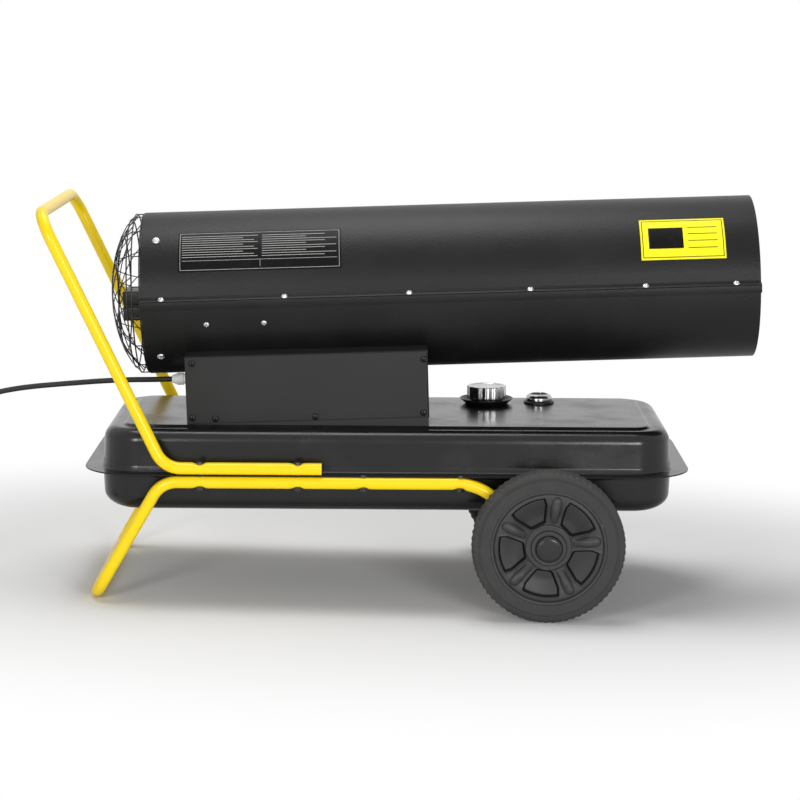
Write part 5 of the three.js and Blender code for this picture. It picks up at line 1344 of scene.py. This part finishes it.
def box_gap_shade():
    """A black strip that fills the wedge between the box's floor and the tank: a dark sheet standing in for the
    shade in that gap.
    """
    s = np.linspace(BOX_LEFT + 1, BOX_RIGHT - 1, 40)
    for word, side in SIDES:
        edge = side * 146.6
        top = BARREL(np.stack([s, 0 * s + edge, 0 * s + BOX_LOW - 0.1], 1)) * 1000
        along = (top[:, 0] - TANK.x) * math.cos(TANK.t) + (top[:, 2] - TANK.z) * math.sin(TANK.t)
        low = TANK(np.stack([along, 0 * s + edge, 0 * s + TANK_TOP + 0.05], 1)) * 1000
        low[:, 2] = np.minimum(low[:, 2], top[:, 2] - 0.2)
        inward = (0, -side * 7, 0)
        # painted shade: a black strip put in the gap under the box
        piece(f"box_gap_shade_{word}", [skin(np.stack([top, low, low + inward, top + inward], 1))], FLOOR, CORD)


hoses()
box_gap_shade()


# ---------------------------------------------------------------- carried nodes

CARRIED = {
    "filler_strainer": STEEL, "float_arm": BLACK_PLASTIC, "drain_plug": ZINC, "suction_pipe": BRASS,
    "box_rail": BOX_PAINT, "motor_bracket": BOX_PAINT, "thermostat": DARK_ZINC, "control_board": BOARD,
    "ignition_transformer": BLACK_PLASTIC,
}


def carry():
    """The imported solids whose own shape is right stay, in their finishes."""
    for name, finish in CARRIED.items():
        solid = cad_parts[name]
        if not solid.material_slots:
            solid.data.materials.append(None)
        for held in solid.material_slots:
            held.material = finish.material


carry()


# ---------------------------------------------------------------- studio

ROOM_LIGHT = 0.23
WHITE = (1, 1, 1, 1)


def stage_world():
    """White where it is seen or mirrored; as a light it is dim."""
    scene.world = bpy.data.worlds.new("studio")
    tree = Nodes(scene.world)
    strength = tree.node("MapRange", {}, {"Value": tree.seen_ray(), "To Min": ROOM_LIGHT, "To Max": 1.0})
    sky = tree.node("Background", {}, {"Color": WHITE, "Strength": strength})
    tree.node("OutputWorld", {}, {0: sky})


def stage_floor():
    """A white floor that keeps the shadow; seen or mirrored, it is lifted, so its lit part is plain white."""
    reach = 30
    mesh = bpy.data.meshes.new("studio_floor")
    mesh.from_pydata([(-reach, -reach, 0), (reach, -reach, 0), (reach, reach, 0), (-reach, reach, 0)], [],
                     [(0, 1, 2, 3)])
    floor = bpy.data.objects.new("studio_floor", mesh)
    f = Finish("studio_floor", None, (0.9, 0.9, 0.9), 0.8, specular=0.1)
    f.set(Base_Color=f.mix(f.noise(3, 2, 0.5), (0.9, 0.9, 0.9), (0.91, 0.91, 0.91)))
    x, y, _ = f.axes()
    away = ((x / 1.25) ** 2 + ((y - 0.1) / 0.85) ** 2) ** 0.5
    seen = f.seen_ray()
    glow = f.node("Emission", {}, {"Color": WHITE, "Strength": 1.0})
    lift = f.node("Emission", {}, {"Color": WHITE, "Strength": seen * 0.02})
    lit = f.node("AddShader", {}, {0: lift, 1: Wire(f, f.shader.outputs[0])})
    f.plug(f.surface, f.node("MixShader", {}, {"Fac": seen * away.between(0.55, 1.25), 1: lit, 2: glow}))
    mesh.materials.append(f.material)
    scene.collection.objects.link(floor)


def lamp(name, at, target, size, watts, tall=None):
    light = bpy.data.lights.new(name, "AREA")
    light.shape = "RECTANGLE"
    light.size, light.size_y, light.energy = size, tall or size, watts
    made = bpy.data.objects.new(name, light)
    made.location = at
    made.rotation_euler = (Vector(target) - Vector(at)).to_track_quat("-Z", "Y").to_euler()
    scene.collection.objects.link(made)


stage_world()
stage_floor()
lamp("top_box", (-0.25, 0.25, 3.0), (0, 0, 0.2), 1.7, 49)
lamp("front_right_box", (1.15, -3.1, 0.80), (0.2, 0, 0.45), 0.9, 40, 0.9)
lamp("front_left_box", (-1.3, -3.0, 1.0), (-0.1, 0, 0.45), 0.6, 31, 0.9)
